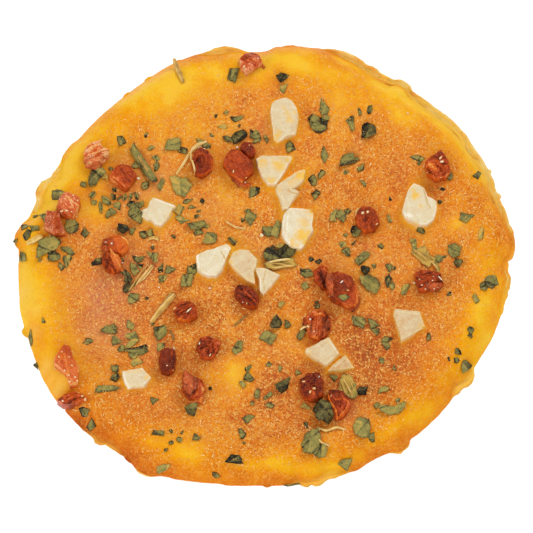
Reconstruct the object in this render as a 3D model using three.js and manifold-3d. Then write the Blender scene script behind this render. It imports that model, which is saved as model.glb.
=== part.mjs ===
// A dried, crisp chicken pizza for one: a flat oval disc of baked meat dough with a puffed rim roll, thin
// lips of skin along parts of its edge and dried herb scraps baked onto it. Dices of dried red vegetable
// and pale chips of dried root sit on top, each a solid of its own.
// Units are millimetres and +Z is up. The disc rests on z = 0 with the middle of its box at the origin.
import * as THREE from "three";
import { mergeVertices } from "three/addons/utils/BufferGeometryUtils.js";
import Module from "manifold-3d";

const wasm = await Module();
wasm.setup();

// Driving dimensions of the disc
const DISC_WIDE = 114.6;
const DISC_DEEP = 105.6;
const MIDDLE_THICK = 7.0;
const EDGE_TOP = 2.9; // height of the thin edge, where the rim roll starts to climb
const ROLL_RISE = 1.3; // how far the roll stands above the middle
const ROLL_IN = 6.2; // from the edge to the crown of the roll
const ROLL_HALF = 4.6;
const ROLL_CLIMB = 5.4; // the side of the roll, from the edge up to full height
const CLIMB_POWER = 2.4;
const SWAY = 0.22; // slow waves of the baked top

// Where the rim roll stands higher or lower than usual
const BULGES = [
  { at: 192, wide: 34, out: 0.5 },
  { at: 113, wide: 17, out: 0.35 },
  { at: 345, wide: 15, out: 0.3 },
  { at: 48, wide: 20, out: -0.35 },
  { at: 237, wide: 14, out: -0.3 },
  { at: 310, wide: 9, out: 0.3 },
];

// How the edge strays from an oval: where (degrees from +X), half width in degrees, and how far out
const LOBES = [
  { at: 144, wide: 27, out: -3.0 }, // flat side, back left
  { at: 227, wide: 24, out: 2.2 }, // full shoulder, front left
  { at: 331, wide: 27, out: -2.0 }, // flat side, front right
  { at: 92, wide: 4, out: -1.4 },
  { at: 71, wide: 6, out: 1.0 },
  { at: 160, wide: 2.2, out: 1.2 },
  { at: 175, wide: 4, out: 0.7 },
  { at: 241, wide: 3, out: 0.9 },
  { at: 265, wide: 4, out: -0.6 },
  { at: 282, wide: 3, out: 1.0 },
  { at: 299, wide: 4, out: -0.7 },
  { at: 306, wide: 2.4, out: 0.9 },
  { at: 330, wide: 2.4, out: 1.1 },
  { at: 0, wide: 2, out: -0.9 },
  { at: 6, wide: 3, out: 0.6 },
];

// Ledges, where a thin lip stands out below the roll: how wide the lip is at its middle
const LEDGES = [
  { at: 34, wide: 25, out: 2.2 },
  { at: 64, wide: 9, out: 1.3 },
  { at: 100, wide: 6, out: 1.0 },
  { at: 160, wide: 8, out: 1.6 },
  { at: 229, wide: 5, out: 0.9 },
  { at: 284, wide: 7, out: 1.2 },
  { at: 329, wide: 5, out: 1.4 },
  { at: 356, wide: 8, out: 1.0 },
];

// The side below the edge, down to the flat underside: how far in, and how high
const UNDERCUT = [
  [0.1, 2.0],
  [0.8, 0.8],
  [2.2, 0],
];

// Places are read off a view that leans back from straight down, so a mark's height moves it up the view.
// In the tables below a place is [across, down] in the pixels of that view.
const PIXEL = 0.229;
const VIEW_ACROSS = 264.5;
const VIEW_DOWN = 265.5;
const VIEW_ELEVATION = THREE.MathUtils.degToRad(72);
const VIEW_LEVEL = 4; // the height that the view's middle falls on

// Puffs of the dough: place, radius and rise in millimetres
const PUFFS = [
  { at: [27, 290], radius: 7, rise: 0.5 },
  { at: [40, 318], radius: 6, rise: 0.5 },
  { at: [58, 378], radius: 7, rise: 0.6 },
  { at: [130, 90], radius: 9, rise: 0.4 },
  { at: [175, 88], radius: 9, rise: 0.6 },
  { at: [300, 70], radius: 7, rise: 0.5 },
  { at: [345, 100], radius: 8, rise: 0.5 },
  { at: [400, 84], radius: 3, rise: 0.7 },
  { at: [440, 126], radius: 7, rise: 0.5 },
  { at: [450, 225], radius: 4, rise: 0.8 },
  { at: [478, 318], radius: 6, rise: 0.8 },
  { at: [425, 416], radius: 6, rise: 0.6 },
  { at: [282, 460], radius: 5, rise: 0.7 },
  { at: [175, 446], radius: 8, rise: 0.6 },
  { at: [240, 374], radius: 5, rise: 0.7 },
  { at: [120, 300], radius: 11, rise: -0.6 },
  { at: [330, 250], radius: 12, rise: -0.4 },
];

// Pale chips: corners of the outline, anticlockwise as seen from above, and how far the top stands up
const CHIPS = [
  {
    stands: 3.0,
    corners: [
      [276, 101], [271, 114], [274, 139], [279, 142],
      [288, 137], [298, 134], [297, 113], [286, 97],
    ],
  },
  { stands: 2.6, corners: [[262, 157], [256, 163], [267, 186], [274, 185], [285, 170], [292, 156]] },
  { stands: 2.7, corners: [[305, 169], [277, 187], [280, 200], [284, 207], [297, 194], [304, 181]] },
  {
    stands: 3.2,
    corners: [
      [287, 212], [282, 226], [283, 236], [295, 250],
      [303, 250], [313, 232], [311, 211],
    ],
  },
  {
    stands: 2.4,
    corners: [
      [154, 198], [149, 206], [141, 212], [142, 218],
      [161, 227], [171, 218], [176, 208],
    ],
  },
  { stands: 3.0, corners: [[228, 245], [196, 256], [197, 272], [212, 278], [218, 276], [231, 250]] },
  {
    stands: 2.8,
    corners: [
      [240, 251], [230, 263], [238, 272], [253, 284],
      [252, 270], [257, 261], [248, 251],
    ],
  },
  { stands: 2.2, corners: [[256, 271], [261, 294], [279, 276], [268, 271]] },
  {
    stands: 3.2,
    corners: [
      [414, 184], [408, 191], [402, 215], [416, 227], [426, 227],
      [435, 218], [437, 205], [429, 199], [423, 189],
    ],
  },
  { stands: 2.8, corners: [[393, 312], [399, 344], [424, 328], [418, 312]] },
  { stands: 2.6, corners: [[328, 337], [306, 347], [323, 367], [339, 356]] },
  { stands: 1.8, corners: [[345, 358], [328, 369], [333, 372], [353, 368]] },
  { stands: 2.2, corners: [[132, 370], [123, 375], [129, 388], [146, 386], [151, 377], [145, 369]] },
];
const CHIP_BEVEL = 0.7; // how far the top pulls in from the sides, and how deep that slope is
const CHIP_CROWN = 0.35; // the middle of the top above its rim
const CHIP_SUNK = 1.5; // foot of a chip below the crust, before the crust's own form is cut out of it

// Red dices: place, width and depth seen in pixels, and turn in degrees
const DICES = [
  { at: [250, 64], seen: [24, 20], turn: 10 },
  { at: [96, 156], seen: [25, 26], turn: -25 },
  { at: [123, 178], seen: [29, 28], turn: -35 },
  { at: [68, 207], seen: [24, 26], turn: 15 },
  { at: [55, 225], seen: [20, 23], turn: -20 },
  { at: [203, 164], seen: [21, 26], turn: -10 },
  { at: [239, 167], seen: [30, 32], turn: 20 },
  { at: [249, 148], seen: [16, 14], turn: 0 },
  { at: [119, 245], seen: [23, 20], turn: 12 },
  { at: [113, 263], seen: [20, 20], turn: -8 },
  { at: [437, 167], seen: [27, 27], turn: -15 },
  { at: [367, 218], seen: [25, 27], turn: 30 },
  { at: [187, 311], seen: [25, 22], turn: -12 },
  { at: [246, 297], seen: [28, 20], turn: -35 },
  { at: [210, 347], seen: [25, 24], turn: 20 },
  { at: [168, 360], seen: [17, 28], turn: 10 },
  { at: [193, 386], seen: [25, 28], turn: -18 },
  { at: [68, 367], seen: [22, 42], turn: 24 },
  { at: [73, 401], seen: [31, 18], turn: -8 },
  { at: [341, 289], seen: [32, 35], turn: -10 },
  { at: [319, 275], seen: [16, 20], turn: 15 },
  { at: [318, 325], seen: [24, 27], turn: 8 },
  { at: [429, 282], seen: [29, 21], turn: -6 },
  { at: [311, 387], seen: [24, 27], turn: 14 },
  { at: [339, 404], seen: [24, 32], turn: -14 },
];
const DICE_POWER = 2.8; // 2 is an egg, more is boxier, up to DICE_BOXIER more by the draw
const DICE_BOXIER = 2.6;
const DICE_LUMP = 0.09;
const DICE_FACETS = 3; // facets along each edge of the box that a dice is rounded from
const DICE_SHARE = 0.55; // height of a whole dice, as a share of its width, on top of DICE_LEAST
const DICE_LEAST = 2.2;
const DICE_LIFT = 0.22; // middle of a dice above the crust, as a share of its height

// Herb scraps, the largest that show: place, length and width in pixels, turn in degrees, rise of the middle
const SCRAPS = [
  [143, 165, 40, 9, -65, 1.2],
  [181, 186, 22, 20, 35, 0.5],
  [47, 247, 24, 20, 20, 0.8],
  [318, 123, 22, 17, -30, 1.2],
  [270, 250, 24, 12, 8, 0.8],
  [370, 284, 22, 19, -25, 0.6],
  [313, 418, 18, 15, 40, 1.2],
  [358, 385, 19, 13, 60, 0.6],
  [361, 429, 23, 17, 65, 0.8],
  [311, 441, 26, 19, 80, 1.2],
  [391, 408, 28, 11, 5, 1.1],
  [93, 182, 17, 14, 60, 0.9],
  [163, 308, 37, 6, 50, 0.8],
  [280, 263, 34, 7, 0, 0.6],
  [348, 160, 18, 15, 50, 0.9],
  [140, 350, 24, 10, 5, 0.6],
  [368, 131, 17, 14, 30, 1.0],
  [129, 212, 19, 12, 80, 0.6],
  [454, 251, 18, 14, 50, 0.7],
  [109, 388, 24, 8, 17, 0.6],
  [178, 72, 25, 4, -68, 0.6],
  [187, 281, 17, 13, 60, 0.6],
  [211, 238, 15, 13, 20, 0.5],
  [362, 258, 17, 13, 10, 0.6],
  [174, 144, 17, 12, 10, 0.5],
  [160, 332, 15, 13, 45, 0.6],
  [239, 136, 16, 12, -20, 0.9],
  [197, 226, 18, 9, 10, 0.6],
  [235, 458, 16, 12, 20, 0.5],
  [77, 232, 14, 11, -15, 0.6],
  [282, 386, 17, 10, 30, 0.9],
  [110, 329, 16, 11, 10, 0.5],
  [127, 278, 16, 11, 70, 0.8],
  [324, 106, 16, 9, 75, 0.5],
  [276, 231, 18, 9, 80, 0.7],
  [183, 164, 29, 4, 60, 0.6],
  [423, 262, 32, 4, -36, 0.5],
  [133, 337, 15, 10, -10, 0.5],
  [154, 257, 14, 11, 60, 0.5],
  [139, 260, 14, 9, 15, 0.7],
  [491, 282, 14, 11, 30, 0.6],
  [192, 408, 14, 10, 80, 0.7],
  [352, 123, 14, 10, 75, 0.5],
  [299, 271, 13, 8, -10, 0.5],
  [238, 347, 13, 11, 30, 0.5],
  [269, 337, 13, 11, -30, 0.6],
  [344, 463, 13, 10, 20, 0.5],
  [359, 321, 14, 10, -20, 0.6],
  [52, 188, 13, 9, -15, 0.5],
  [276, 323, 14, 9, 70, 0.8],
  [233, 74, 14, 9, 75, 0.5],
  [106, 201, 12, 10, 10, 0.5],
  [133, 298, 13, 10, 40, 0.5],
  [250, 218, 13, 10, 60, 0.6],
  [68, 251, 14, 8, -10, 0.6],
  [342, 216, 13, 10, 50, 0.7],
  [350, 238, 12, 8, 60, 0.6],
  [254, 191, 13, 9, 75, 0.5],
  [465, 218, 13, 9, -8, 0.5],
  [282, 77, 12, 9, 10, 0.6],
  [441, 258, 15, 7, 5, 0.5],
  [248, 417, 12, 8, 15, 0.5],
  [159, 432, 13, 8, 20, 0.5],
  [465, 366, 13, 9, 60, 0.5],
  [405, 289, 13, 7, 75, 0.6],
  [388, 280, 14, 7, 80, 0.5],
];
const SCRAP_THICK = 0.4;
const SCRAP_SUNK = 0.3; // underside of a scrap below the crust that it is baked onto
const SCRAP_CURL = 0.7; // most that a corner curls up
const SCRAP_CORNERS = 7;
const STRIP_RATIO = 2.5; // a scrap longer than this many widths is a strip with straight sides

const GAP = 0.3; // air left between neighbouring solids
const RINGS = 21; // rings of the top's grid, from the middle to the edge
const RING_CROWDING = 1.6; // above 1 the rings stand closer towards the edge

// A fixed draw from 0 to 1 for each seed, so that every build is alike.
function draw(seed) {
  const value = Math.sin(seed * 127.1) * 43758.5453;
  return value - Math.floor(value);
}

// 1 at the middle of a lobe, ledge or bulge, falling to 0 past its half width.
function swell(angle, { at, wide }) {
  const turned = THREE.MathUtils.euclideanModulo(THREE.MathUtils.radToDeg(angle) - at + 180, 360) - 180;
  return Math.exp(-((turned / wide) ** 4));
}

function sumOf(list, angle) {
  return list.reduce((sum, one) => sum + one.out * swell(angle, one), 0);
}

function edgeRadius(angle) {
  const oval = 1 / Math.hypot((2 * Math.cos(angle)) / DISC_WIDE, (2 * Math.sin(angle)) / DISC_DEEP);
  return oval + sumOf(LOBES, angle);
}

// Where a mark of the view lies, for something at the given height.
function place([across, down], height) {
  const up = (VIEW_DOWN - down) * PIXEL;
  const y = (up - (height - VIEW_LEVEL) * Math.cos(VIEW_ELEVATION)) / Math.sin(VIEW_ELEVATION);
  return [(across - VIEW_ACROSS) * PIXEL, y];
}

const puffs = PUFFS.map(({ at, radius, rise }) => ({ middle: place(at, MIDDLE_THICK), radius, rise }));

// Height of the bare crust's top above a point of the floor.
function topHeight(x, y) {
  const angle = Math.atan2(y, x);
  const inward = edgeRadius(angle) - Math.hypot(x, y) - sumOf(LEDGES, angle);
  const climb = THREE.MathUtils.clamp(inward / ROLL_CLIMB, 0, 1);
  const roll = ROLL_RISE + sumOf(BULGES, angle);
  let full = MIDDLE_THICK + roll * Math.exp(-(((inward - ROLL_IN) / ROLL_HALF) ** 2));
  for (const { middle, radius, rise } of puffs) {
    full += rise * Math.exp(-(((x - middle[0]) ** 2 + (y - middle[1]) ** 2) / radius ** 2));
  }
  full += SWAY * Math.sin(x / 7.3 + 0.8) * Math.sin(y / 6.1 - 0.4);
  full += (SWAY / 2) * Math.sin(x / 3.4 + y / 4.7);
  return EDGE_TOP + (full - EDGE_TOP) * (1 - (1 - climb) ** CLIMB_POWER);
}

// Closed geometry from a list of corners and a list of triangles.
function closedGeometry(corners, triangles) {
  const geometry = new THREE.BufferGeometry();
  geometry.setAttribute("position", new THREE.Float32BufferAttribute(corners.flat(), 3));
  geometry.setIndex(triangles.flat());
  return geometry;
}

// Triangles of the walls between stacked rings of the same count, each ring anticlockwise from above and
// numbered from its own start, the lowest ring first.
function wallTriangles(starts, count) {
  const triangles = [];
  for (let level = 0; level + 1 < starts.length; level++) {
    for (let i = 0; i < count; i++) {
      const next = (i + 1) % count;
      const [low, high] = [starts[level], starts[level + 1]];
      triangles.push([low + i, low + next, high + i], [low + next, high + next, high + i]);
    }
  }
  return triangles;
}

// A closed stack of rings with a fan over each end, which splits the top and the underside alike.
function stackGeometry(rings, foot, crown) {
  const count = rings[0].length;
  const starts = rings.map((_, level) => level * count);
  const corners = [...rings.flat(), foot, crown];
  const footIndex = rings.length * count;
  const last = starts.at(-1);
  const triangles = wallTriangles(starts, count);
  for (let i = 0; i < count; i++) {
    const next = (i + 1) % count;
    triangles.push([footIndex, next, i], [footIndex + 1, last + i, last + next]);
  }
  return closedGeometry(corners, triangles);
}

// Angle and share of the radius of one knot of a square grid that is bent into a disc.
function discKnot(i, j) {
  const ring = Math.max(Math.abs(i), Math.abs(j));
  if (ring === 0) return [0, 0];
  const sideways = Math.abs(i) >= Math.abs(j);
  const along = (Math.PI / 4) * (sideways ? j / i : -i / j);
  const start = sideways ? (i > 0 ? 0 : Math.PI) : j > 0 ? Math.PI / 2 : -Math.PI / 2;
  return [start + along, 1 - (1 - ring / RINGS) ** RING_CROWDING];
}

// The bare disc: a grid over the top, the undercut side, and the flat underside.
function discGeometry() {
  const corners = [];
  const across = 2 * RINGS + 1;
  const knot = (i, j) => (j + RINGS) * across + i + RINGS;
  for (let j = -RINGS; j <= RINGS; j++) {
    for (let i = -RINGS; i <= RINGS; i++) {
      const [angle, share] = discKnot(i, j);
      const radius = edgeRadius(angle) * share;
      const [x, y] = [radius * Math.cos(angle), radius * Math.sin(angle)];
      corners.push([x, y, topHeight(x, y)]);
    }
  }
  const triangles = [];
  for (let j = -RINGS; j < RINGS; j++) {
    for (let i = -RINGS; i < RINGS; i++) {
      const [a, b, c, d] = [knot(i, j), knot(i + 1, j), knot(i + 1, j + 1), knot(i, j + 1)];
      triangles.push([a, b, c], [a, c, d]);
    }
  }
  const rim = [];
  for (let k = -RINGS; k < RINGS; k++) rim.push(knot(RINGS, k));
  for (let k = RINGS; k > -RINGS; k--) rim.push(knot(k, RINGS));
  for (let k = RINGS; k > -RINGS; k--) rim.push(knot(-RINGS, k));
  for (let k = -RINGS; k < RINGS; k++) rim.push(knot(k, -RINGS));
  let upper = rim;
  for (const [inset, height] of UNDERCUT) {
    const lower = rim.map((index) => {
      const [x, y] = corners[index];
      const share = 1 - inset / Math.hypot(x, y);
      return corners.push([x * share, y * share, height]) - 1;
    });
    lower.forEach((low, i) => {
      const next = (i + 1) % lower.length;
      triangles.push([low, lower[next], upper[i]], [lower[next], upper[next], upper[i]]);
    });
    upper = lower;
  }
  const foot = corners.push([0, 0, 0]) - 1;
  upper.forEach((index, i) => triangles.push([foot, upper[(i + 1) % upper.length], index]));
  return closedGeometry(corners, triangles);
}

// One herb scrap, draped over the crust with its middle raised and some corners curled up.
function scrapGeometry([across, down, long, wide, turn, rise], seed) {
  const [x0, y0] = place([across, down], MIDDLE_THICK + ROLL_RISE);
  const strip = long / wide > STRIP_RATIO;
  const count = strip ? SCRAP_CORNERS + 1 : SCRAP_CORNERS;
  const heading = THREE.MathUtils.degToRad(turn);
  const [top, underside] = [[], []];
  for (let i = 0; i < count; i++) {
    const bow = (2 * Math.PI * (i + 0.4 * draw(seed + i / 7))) / count;
    const reach = strip ? 1 : 0.82 + 0.3 * draw(seed + 3 + i / 5);
    const squared = strip ? Math.sign(Math.sin(bow)) * Math.abs(Math.sin(bow)) ** 0.4 : Math.sin(bow);
    const along = (long / 2) * PIXEL * reach * Math.cos(bow);
    const aside = (wide / 2) * PIXEL * reach * squared;
    const x = x0 + along * Math.cos(heading) - aside * Math.sin(heading);
    const y = y0 + along * Math.sin(heading) + aside * Math.cos(heading);
    const curl = SCRAP_CURL * Math.max(0, 2 * draw(seed + 9 + i / 3) - 1);
    const ground = topHeight(x, y);
    top.push([x, y, ground + curl + SCRAP_THICK]);
    underside.push([x, y, ground + curl - SCRAP_SUNK]);
  }
  const ground = topHeight(x0, y0);
  return stackGeometry([underside, top], [x0, y0, ground - SCRAP_SUNK], [x0, y0, ground + rise]);
}

// A pale chip: straight sides, a sloping shoulder and a low crown, on its own outline.
function chipGeometry({ stands, corners }) {
  const outline = corners.map((corner) => place(corner, MIDDLE_THICK + stands / 2));
  const middle = [0, 1].map((axis) => outline.reduce((sum, point) => sum + point[axis], 0) / outline.length);
  const ground = topHeight(...middle);
  const ring = (inset, height) =>
    outline.map(([x, y]) => {
      const [dx, dy] = [x - middle[0], y - middle[1]];
      const share = 1 - inset / Math.hypot(dx, dy);
      return [middle[0] + dx * share, middle[1] + dy * share, height];
    });
  const rings = [
    ring(0, ground - CHIP_SUNK),
    ring(0, ground + stands - CHIP_BEVEL),
    ring(CHIP_BEVEL, ground + stands),
  ];
  const foot = [...middle, ground - CHIP_SUNK];
  const crown = [...middle, ground + stands + CHIP_CROWN];
  return stackGeometry(rings, foot, crown);
}

// A red dice: a lumpy rounded box, its lower part sunk into the crust.
function diceGeometry({ at, seen, turn }, seed) {
  const wide = seen[0] * PIXEL;
  const tall = DICE_LEAST + DICE_SHARE * Math.min(wide, seen[1] * PIXEL);
  const shown = tall * (0.5 + DICE_LIFT);
  const deep = (seen[1] * PIXEL - shown * Math.cos(VIEW_ELEVATION)) / Math.sin(VIEW_ELEVATION);
  const [x0, y0] = place(at, MIDDLE_THICK + shown / 2);
  const boxiness = DICE_POWER + DICE_BOXIER * draw(seed);
  const geometry = new THREE.BoxGeometry(2, 2, 2, DICE_FACETS, DICE_FACETS, DICE_FACETS);
  const position = geometry.getAttribute("position");
  for (let i = 0; i < position.count; i++) {
    const p = new THREE.Vector3().fromBufferAttribute(position, i).normalize();
    const power = Math.abs(p.x) ** boxiness + Math.abs(p.y) ** boxiness + Math.abs(p.z) ** boxiness;
    const lump = 1 + DICE_LUMP * Math.sin(3.1 * p.x + 2.3 * p.y + 1.7 * seed) * Math.cos(2.7 * p.z + seed);
    p.multiplyScalar(lump * power ** (-1 / boxiness));
    position.setXYZ(i, (p.x * wide) / 2, (p.y * deep) / 2, (p.z * tall) / 2);
  }
  geometry.rotateZ(THREE.MathUtils.degToRad(turn));
  geometry.translate(x0, y0, topHeight(x0, y0) + DICE_LIFT * tall);
  return geometry;
}

// A geometry as a solid that can be joined and cut.
function solidOf(geometry) {
  geometry.deleteAttribute("normal");
  geometry.deleteAttribute("uv");
  const merged = mergeVertices(geometry, 1e-4);
  const vertProperties = new Float32Array(merged.getAttribute("position").array);
  const triVerts = new Uint32Array(merged.index.array);
  return new wasm.Manifold(new wasm.Mesh({ numProp: 3, vertProperties, triVerts }));
}

// The same geometry, grown about its own middle by the gap on each side.
function grownSolid(geometry) {
  geometry.computeBoundingBox();
  const middle = geometry.boundingBox.getCenter(new THREE.Vector3());
  const size = geometry.boundingBox.getSize(new THREE.Vector3());
  const grown = geometry.clone().translate(-middle.x, -middle.y, -middle.z);
  grown.scale(1 + (2 * GAP) / size.x, 1 + (2 * GAP) / size.y, 1 + (2 * GAP) / size.z);
  return solidOf(grown.translate(middle.x, middle.y, middle.z));
}

// The largest body alone: it drops a loose scrap and fills a hollow that joining has sealed.
function mainBody(solid) {
  return solid.decompose().reduce((best, body) => (body.volume() > best.volume() ? body : best));
}

function meshOf(solid, name, material) {
  const { vertProperties, triVerts } = solid.getMesh();
  const geometry = new THREE.BufferGeometry();
  geometry.setAttribute("position", new THREE.BufferAttribute(vertProperties, 3));
  geometry.setIndex(new THREE.BufferAttribute(triVerts, 1));
  geometry.computeVertexNormals();
  const mesh = new THREE.Mesh(geometry, material);
  mesh.name = name;
  return mesh;
}

const crustMaterial = new THREE.MeshStandardMaterial({ color: 0xe8a03c, roughness: 0.55, metalness: 0 });
const chipMaterial = new THREE.MeshStandardMaterial({ color: 0xe9dfc9, roughness: 0.7, metalness: 0 });
const diceMaterial = new THREE.MeshStandardMaterial({ color: 0x9a3018, roughness: 0.4, metalness: 0 });

const disc = solidOf(discGeometry());
const discAndGap = disc.translate([0, 0, GAP]);

// Toppings in their order, each cut clear of the crust and of the toppings before it.
const toppings = [
  ...CHIPS.map((chip, i) => ({ kind: "pale_chip", number: i + 1, geometry: chipGeometry(chip) })),
  ...DICES.map((dice, i) => ({ kind: "red_dice", number: i + 1, geometry: diceGeometry(dice, i + 1) })),
];
const grown = [];
for (const topping of toppings) {
  let solid = solidOf(topping.geometry).subtract(discAndGap);
  for (const neighbour of grown) solid = solid.subtract(neighbour);
  topping.solid = mainBody(solid);
  grown.push(grownSolid(topping.geometry));
}

// The crust, with every herb scrap that stays clear of the toppings joined to it.
let crust = disc;
SCRAPS.forEach((row, i) => {
  const scrap = solidOf(scrapGeometry(row, i + 1));
  if (grown.every((topping) => scrap.intersect(topping).isEmpty())) crust = crust.add(scrap);
});

const pizza = new THREE.Group();
pizza.add(meshOf(mainBody(crust), "crust", crustMaterial));
const top = new THREE.Group();
for (const { kind, number, solid } of toppings) {
  const material = kind === "pale_chip" ? chipMaterial : diceMaterial;
  top.add(meshOf(solid, `${kind}_${String(number).padStart(2, "0")}`, material));
}
pizza.add(top);

export default pizza;
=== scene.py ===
# %% [markdown]
# # A dried chicken pizza
# The object is one flat, slightly oval disc of baked and dried meat dough. Its rim has puffed up into a
# smooth yellow roll, its middle is browned and grainy, and dices of dried red vegetable, pale chips of
# dried root and scraps of dried herb are baked onto it.
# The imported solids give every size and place. Each solid is replaced here by a finer surface of the same
# form. All shapes are worked out in millimetres and turned to metres when a mesh is made.

# %% Load the frame
from functools import partial
from math import cos, pi, radians, sin, sqrt

import bpy
import numpy as np
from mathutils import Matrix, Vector


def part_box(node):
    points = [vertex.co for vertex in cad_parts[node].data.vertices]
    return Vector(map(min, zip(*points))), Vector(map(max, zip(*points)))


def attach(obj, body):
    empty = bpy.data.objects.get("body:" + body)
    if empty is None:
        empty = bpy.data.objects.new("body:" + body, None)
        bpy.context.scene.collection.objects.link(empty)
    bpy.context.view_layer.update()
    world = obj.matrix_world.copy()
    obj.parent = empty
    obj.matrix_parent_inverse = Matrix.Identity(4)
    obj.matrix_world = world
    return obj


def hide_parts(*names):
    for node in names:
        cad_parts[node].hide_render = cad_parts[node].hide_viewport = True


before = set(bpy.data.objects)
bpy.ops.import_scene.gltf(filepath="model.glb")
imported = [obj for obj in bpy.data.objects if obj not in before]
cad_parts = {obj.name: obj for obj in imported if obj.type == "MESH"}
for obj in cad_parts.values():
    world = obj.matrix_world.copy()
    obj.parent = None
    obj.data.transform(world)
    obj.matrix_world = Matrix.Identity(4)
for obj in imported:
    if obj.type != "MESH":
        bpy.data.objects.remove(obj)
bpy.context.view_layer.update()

MM = 0.001
crust_low, crust_high = (np.array(corner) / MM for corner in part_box("crust"))
print("crust, mm:", np.round(crust_high - crust_low, 1))

# %% [markdown]
# ## Reading places off the photograph
# The photograph looks down on the disc and leans back a little, so a mark's height moves it up the
# picture. With the lean and the size of a pixel known, each mark has one place on the object.

# %% Places on the object
FRAME_PIXELS = 533
PIXEL = 0.229  # mm of the object across one pixel
VIEW_ACROSS, VIEW_DOWN = 264.5, 265.5  # the pixel where the object's middle falls
VIEW_ELEVATION = radians(72)
VIEW_LEVEL = 4.0  # the height of that middle, mm


def place(across, down, height):
    """Where a mark of the view lies: x from its column; y from its row, less what its height adds."""
    up = (VIEW_DOWN - np.asarray(down, float)) * PIXEL
    y = (up - (height - VIEW_LEVEL) * cos(VIEW_ELEVATION)) / sin(VIEW_ELEVATION)
    return (np.asarray(across, float) - VIEW_ACROSS) * PIXEL, y


# %% [markdown]
# ## The camera
# A long lens from far off gives the nearly parallel view of the photograph. The lens is worked out so
# that a pixel of the picture is as wide on the object as in the photograph.

# %% Make the camera


def put_in(name, data):
    """A new object of the scene, made of the data."""
    made = bpy.data.objects.new(name, data)
    bpy.context.collection.objects.link(made)
    return made


CAMERA_DISTANCE = 2500.0  # mm
SENSOR = 36.0  # mm
VIEW_REACH = 50.0  # m, up to which the camera sees

camera_data = bpy.data.cameras.new("camera")
camera_data.sensor_width = SENSOR
camera_data.lens = SENSOR * CAMERA_DISTANCE / (FRAME_PIXELS * PIXEL)
camera_data.clip_end = VIEW_REACH
camera = put_in("camera", camera_data)
aim_x, aim_y = place(FRAME_PIXELS / 2, FRAME_PIXELS / 2, VIEW_LEVEL)
aim = Vector((float(aim_x), float(aim_y), VIEW_LEVEL)) * MM
back = Vector((0, -cos(VIEW_ELEVATION), sin(VIEW_ELEVATION)))
camera.location = aim + back * CAMERA_DISTANCE * MM
camera.rotation_euler = (-back).to_track_quat("-Z", "Y").to_euler()
bpy.context.scene.camera = camera
print("lens, mm:", round(camera_data.lens))

# %% [markdown]
# ## Small tools
# A finished piece is a mesh at the origin that rides on the body and takes the material it is given.
# Numbers worked out at each vertex, such as how toasted the dough is, are kept in the mesh as
# attributes, and the materials read them.

# %% Meshes from arrays


def add_piece(name, vertices, faces, material, slot, nodes=(), **attributes):
    """A smooth-shaded mesh from vertices in mm, with one number per vertex for each attribute."""
    mesh = bpy.data.meshes.new(name)
    mesh.from_pydata((np.asarray(vertices) * MM).tolist(), [], faces)
    mesh.polygons.foreach_set("use_smooth", np.ones(len(mesh.polygons), bool))
    for label, values in attributes.items():
        layer = mesh.attributes.new(label, "FLOAT", "POINT")
        layer.data.foreach_set("value", np.asarray(values, np.float32).ravel())
    mesh.materials.append(material)
    piece = put_in(name, mesh)
    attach(piece, "root")
    if nodes:
        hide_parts(*nodes)


def grid_faces(rows, columns, wrap=False):
    """Quads between the knots of a grid counted row by row; wrap joins the last column to the first."""
    i = np.arange(rows - 1)[:, None]
    j = np.arange(columns if wrap else columns - 1)[None, :]
    right = (j + 1) % columns
    low, high = i * columns, (i + 1) * columns
    return np.stack([low + j, low + right, high + right, high + j], axis=-1).reshape(-1, 4)


def closed_stack(rings):
    """A stack of rings, each anticlockwise about the way the stack runs, with a fan over both ends."""
    levels, count, _ = rings.shape
    vertices = np.vstack([rings.reshape(-1, 3), rings[0].mean(axis=0), rings[-1].mean(axis=0)])
    here = np.arange(count)
    after = (here + 1) % count
    foot, crown, last = levels * count, levels * count + 1, (levels - 1) * count
    faces = grid_faces(levels, count, wrap=True).tolist()
    faces += np.stack([np.full(count, foot), after, here], axis=1).tolist()
    faces += np.stack([np.full(count, crown), last + here, last + after], axis=1).tolist()
    return vertices, faces


# %% Noise


def soft_noise(x, y, seed):
    """Noise from -1 to 1: a random value at each whole-number corner, blended smoothly between them."""
    lattice = np.random.default_rng(seed).uniform(-1, 1, (256, 256))
    i, j = np.floor(x).astype(int), np.floor(y).astype(int)
    u, v = x - i, y - j
    u, v = u * u * (3 - 2 * u), v * v * (3 - 2 * v)
    low = lattice[i % 256, j % 256] * (1 - u) + lattice[(i + 1) % 256, j % 256] * u
    high = lattice[i % 256, (j + 1) % 256] * (1 - u) + lattice[(i + 1) % 256, (j + 1) % 256] * u
    return low * (1 - v) + high * v


def layered_noise(x, y, size, seed, layers=3):
    """Noise of the given grain size in mm, plus finer layers, each half as strong and half as wide."""
    total = sum(soft_noise(x / size * 2**k, y / size * 2**k, seed + k) / 2**k for k in range(layers))
    return total / (2 - 2.0 ** (1 - layers))


def ridged_noise(x, y, size, seed, layers=3):
    """Noise from about -1 to 1 with sharp crests: each layer is highest where plain noise crosses zero."""
    plain = (soft_noise(x / size * 2**k, y / size * 2**k, seed + k) for k in range(layers))
    return sum((1 - 3 * np.abs(one)) / 2**k for k, one in enumerate(plain)) / (2 - 2.0 ** (1 - layers))


# %% [markdown]
# ## The form of the crust
# On the real disc the dough puffed up towards the rim and was dried there, so a roll runs round the
# edge, and below it a thin lip of skin stands out in places. The form is a formula in two steps. The
# edge is an oval plus named lobes. The height climbs from the edge to a roll and settles to the middle,
# with soft puffs on top. The imported solid has the same formula with the same sizes. It could be sculpted
# instead, but a formula also tells each topping how high the dough is under it.

# %% Rows of numbers
# Marks that were read off the photograph are written down as short lines of text


def groups(text):
    """Lists of numbers: spaces part the lists, and commas part the numbers of a list."""
    return [[float(number) for number in one.split(",")] for one in text.split()]


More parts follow.
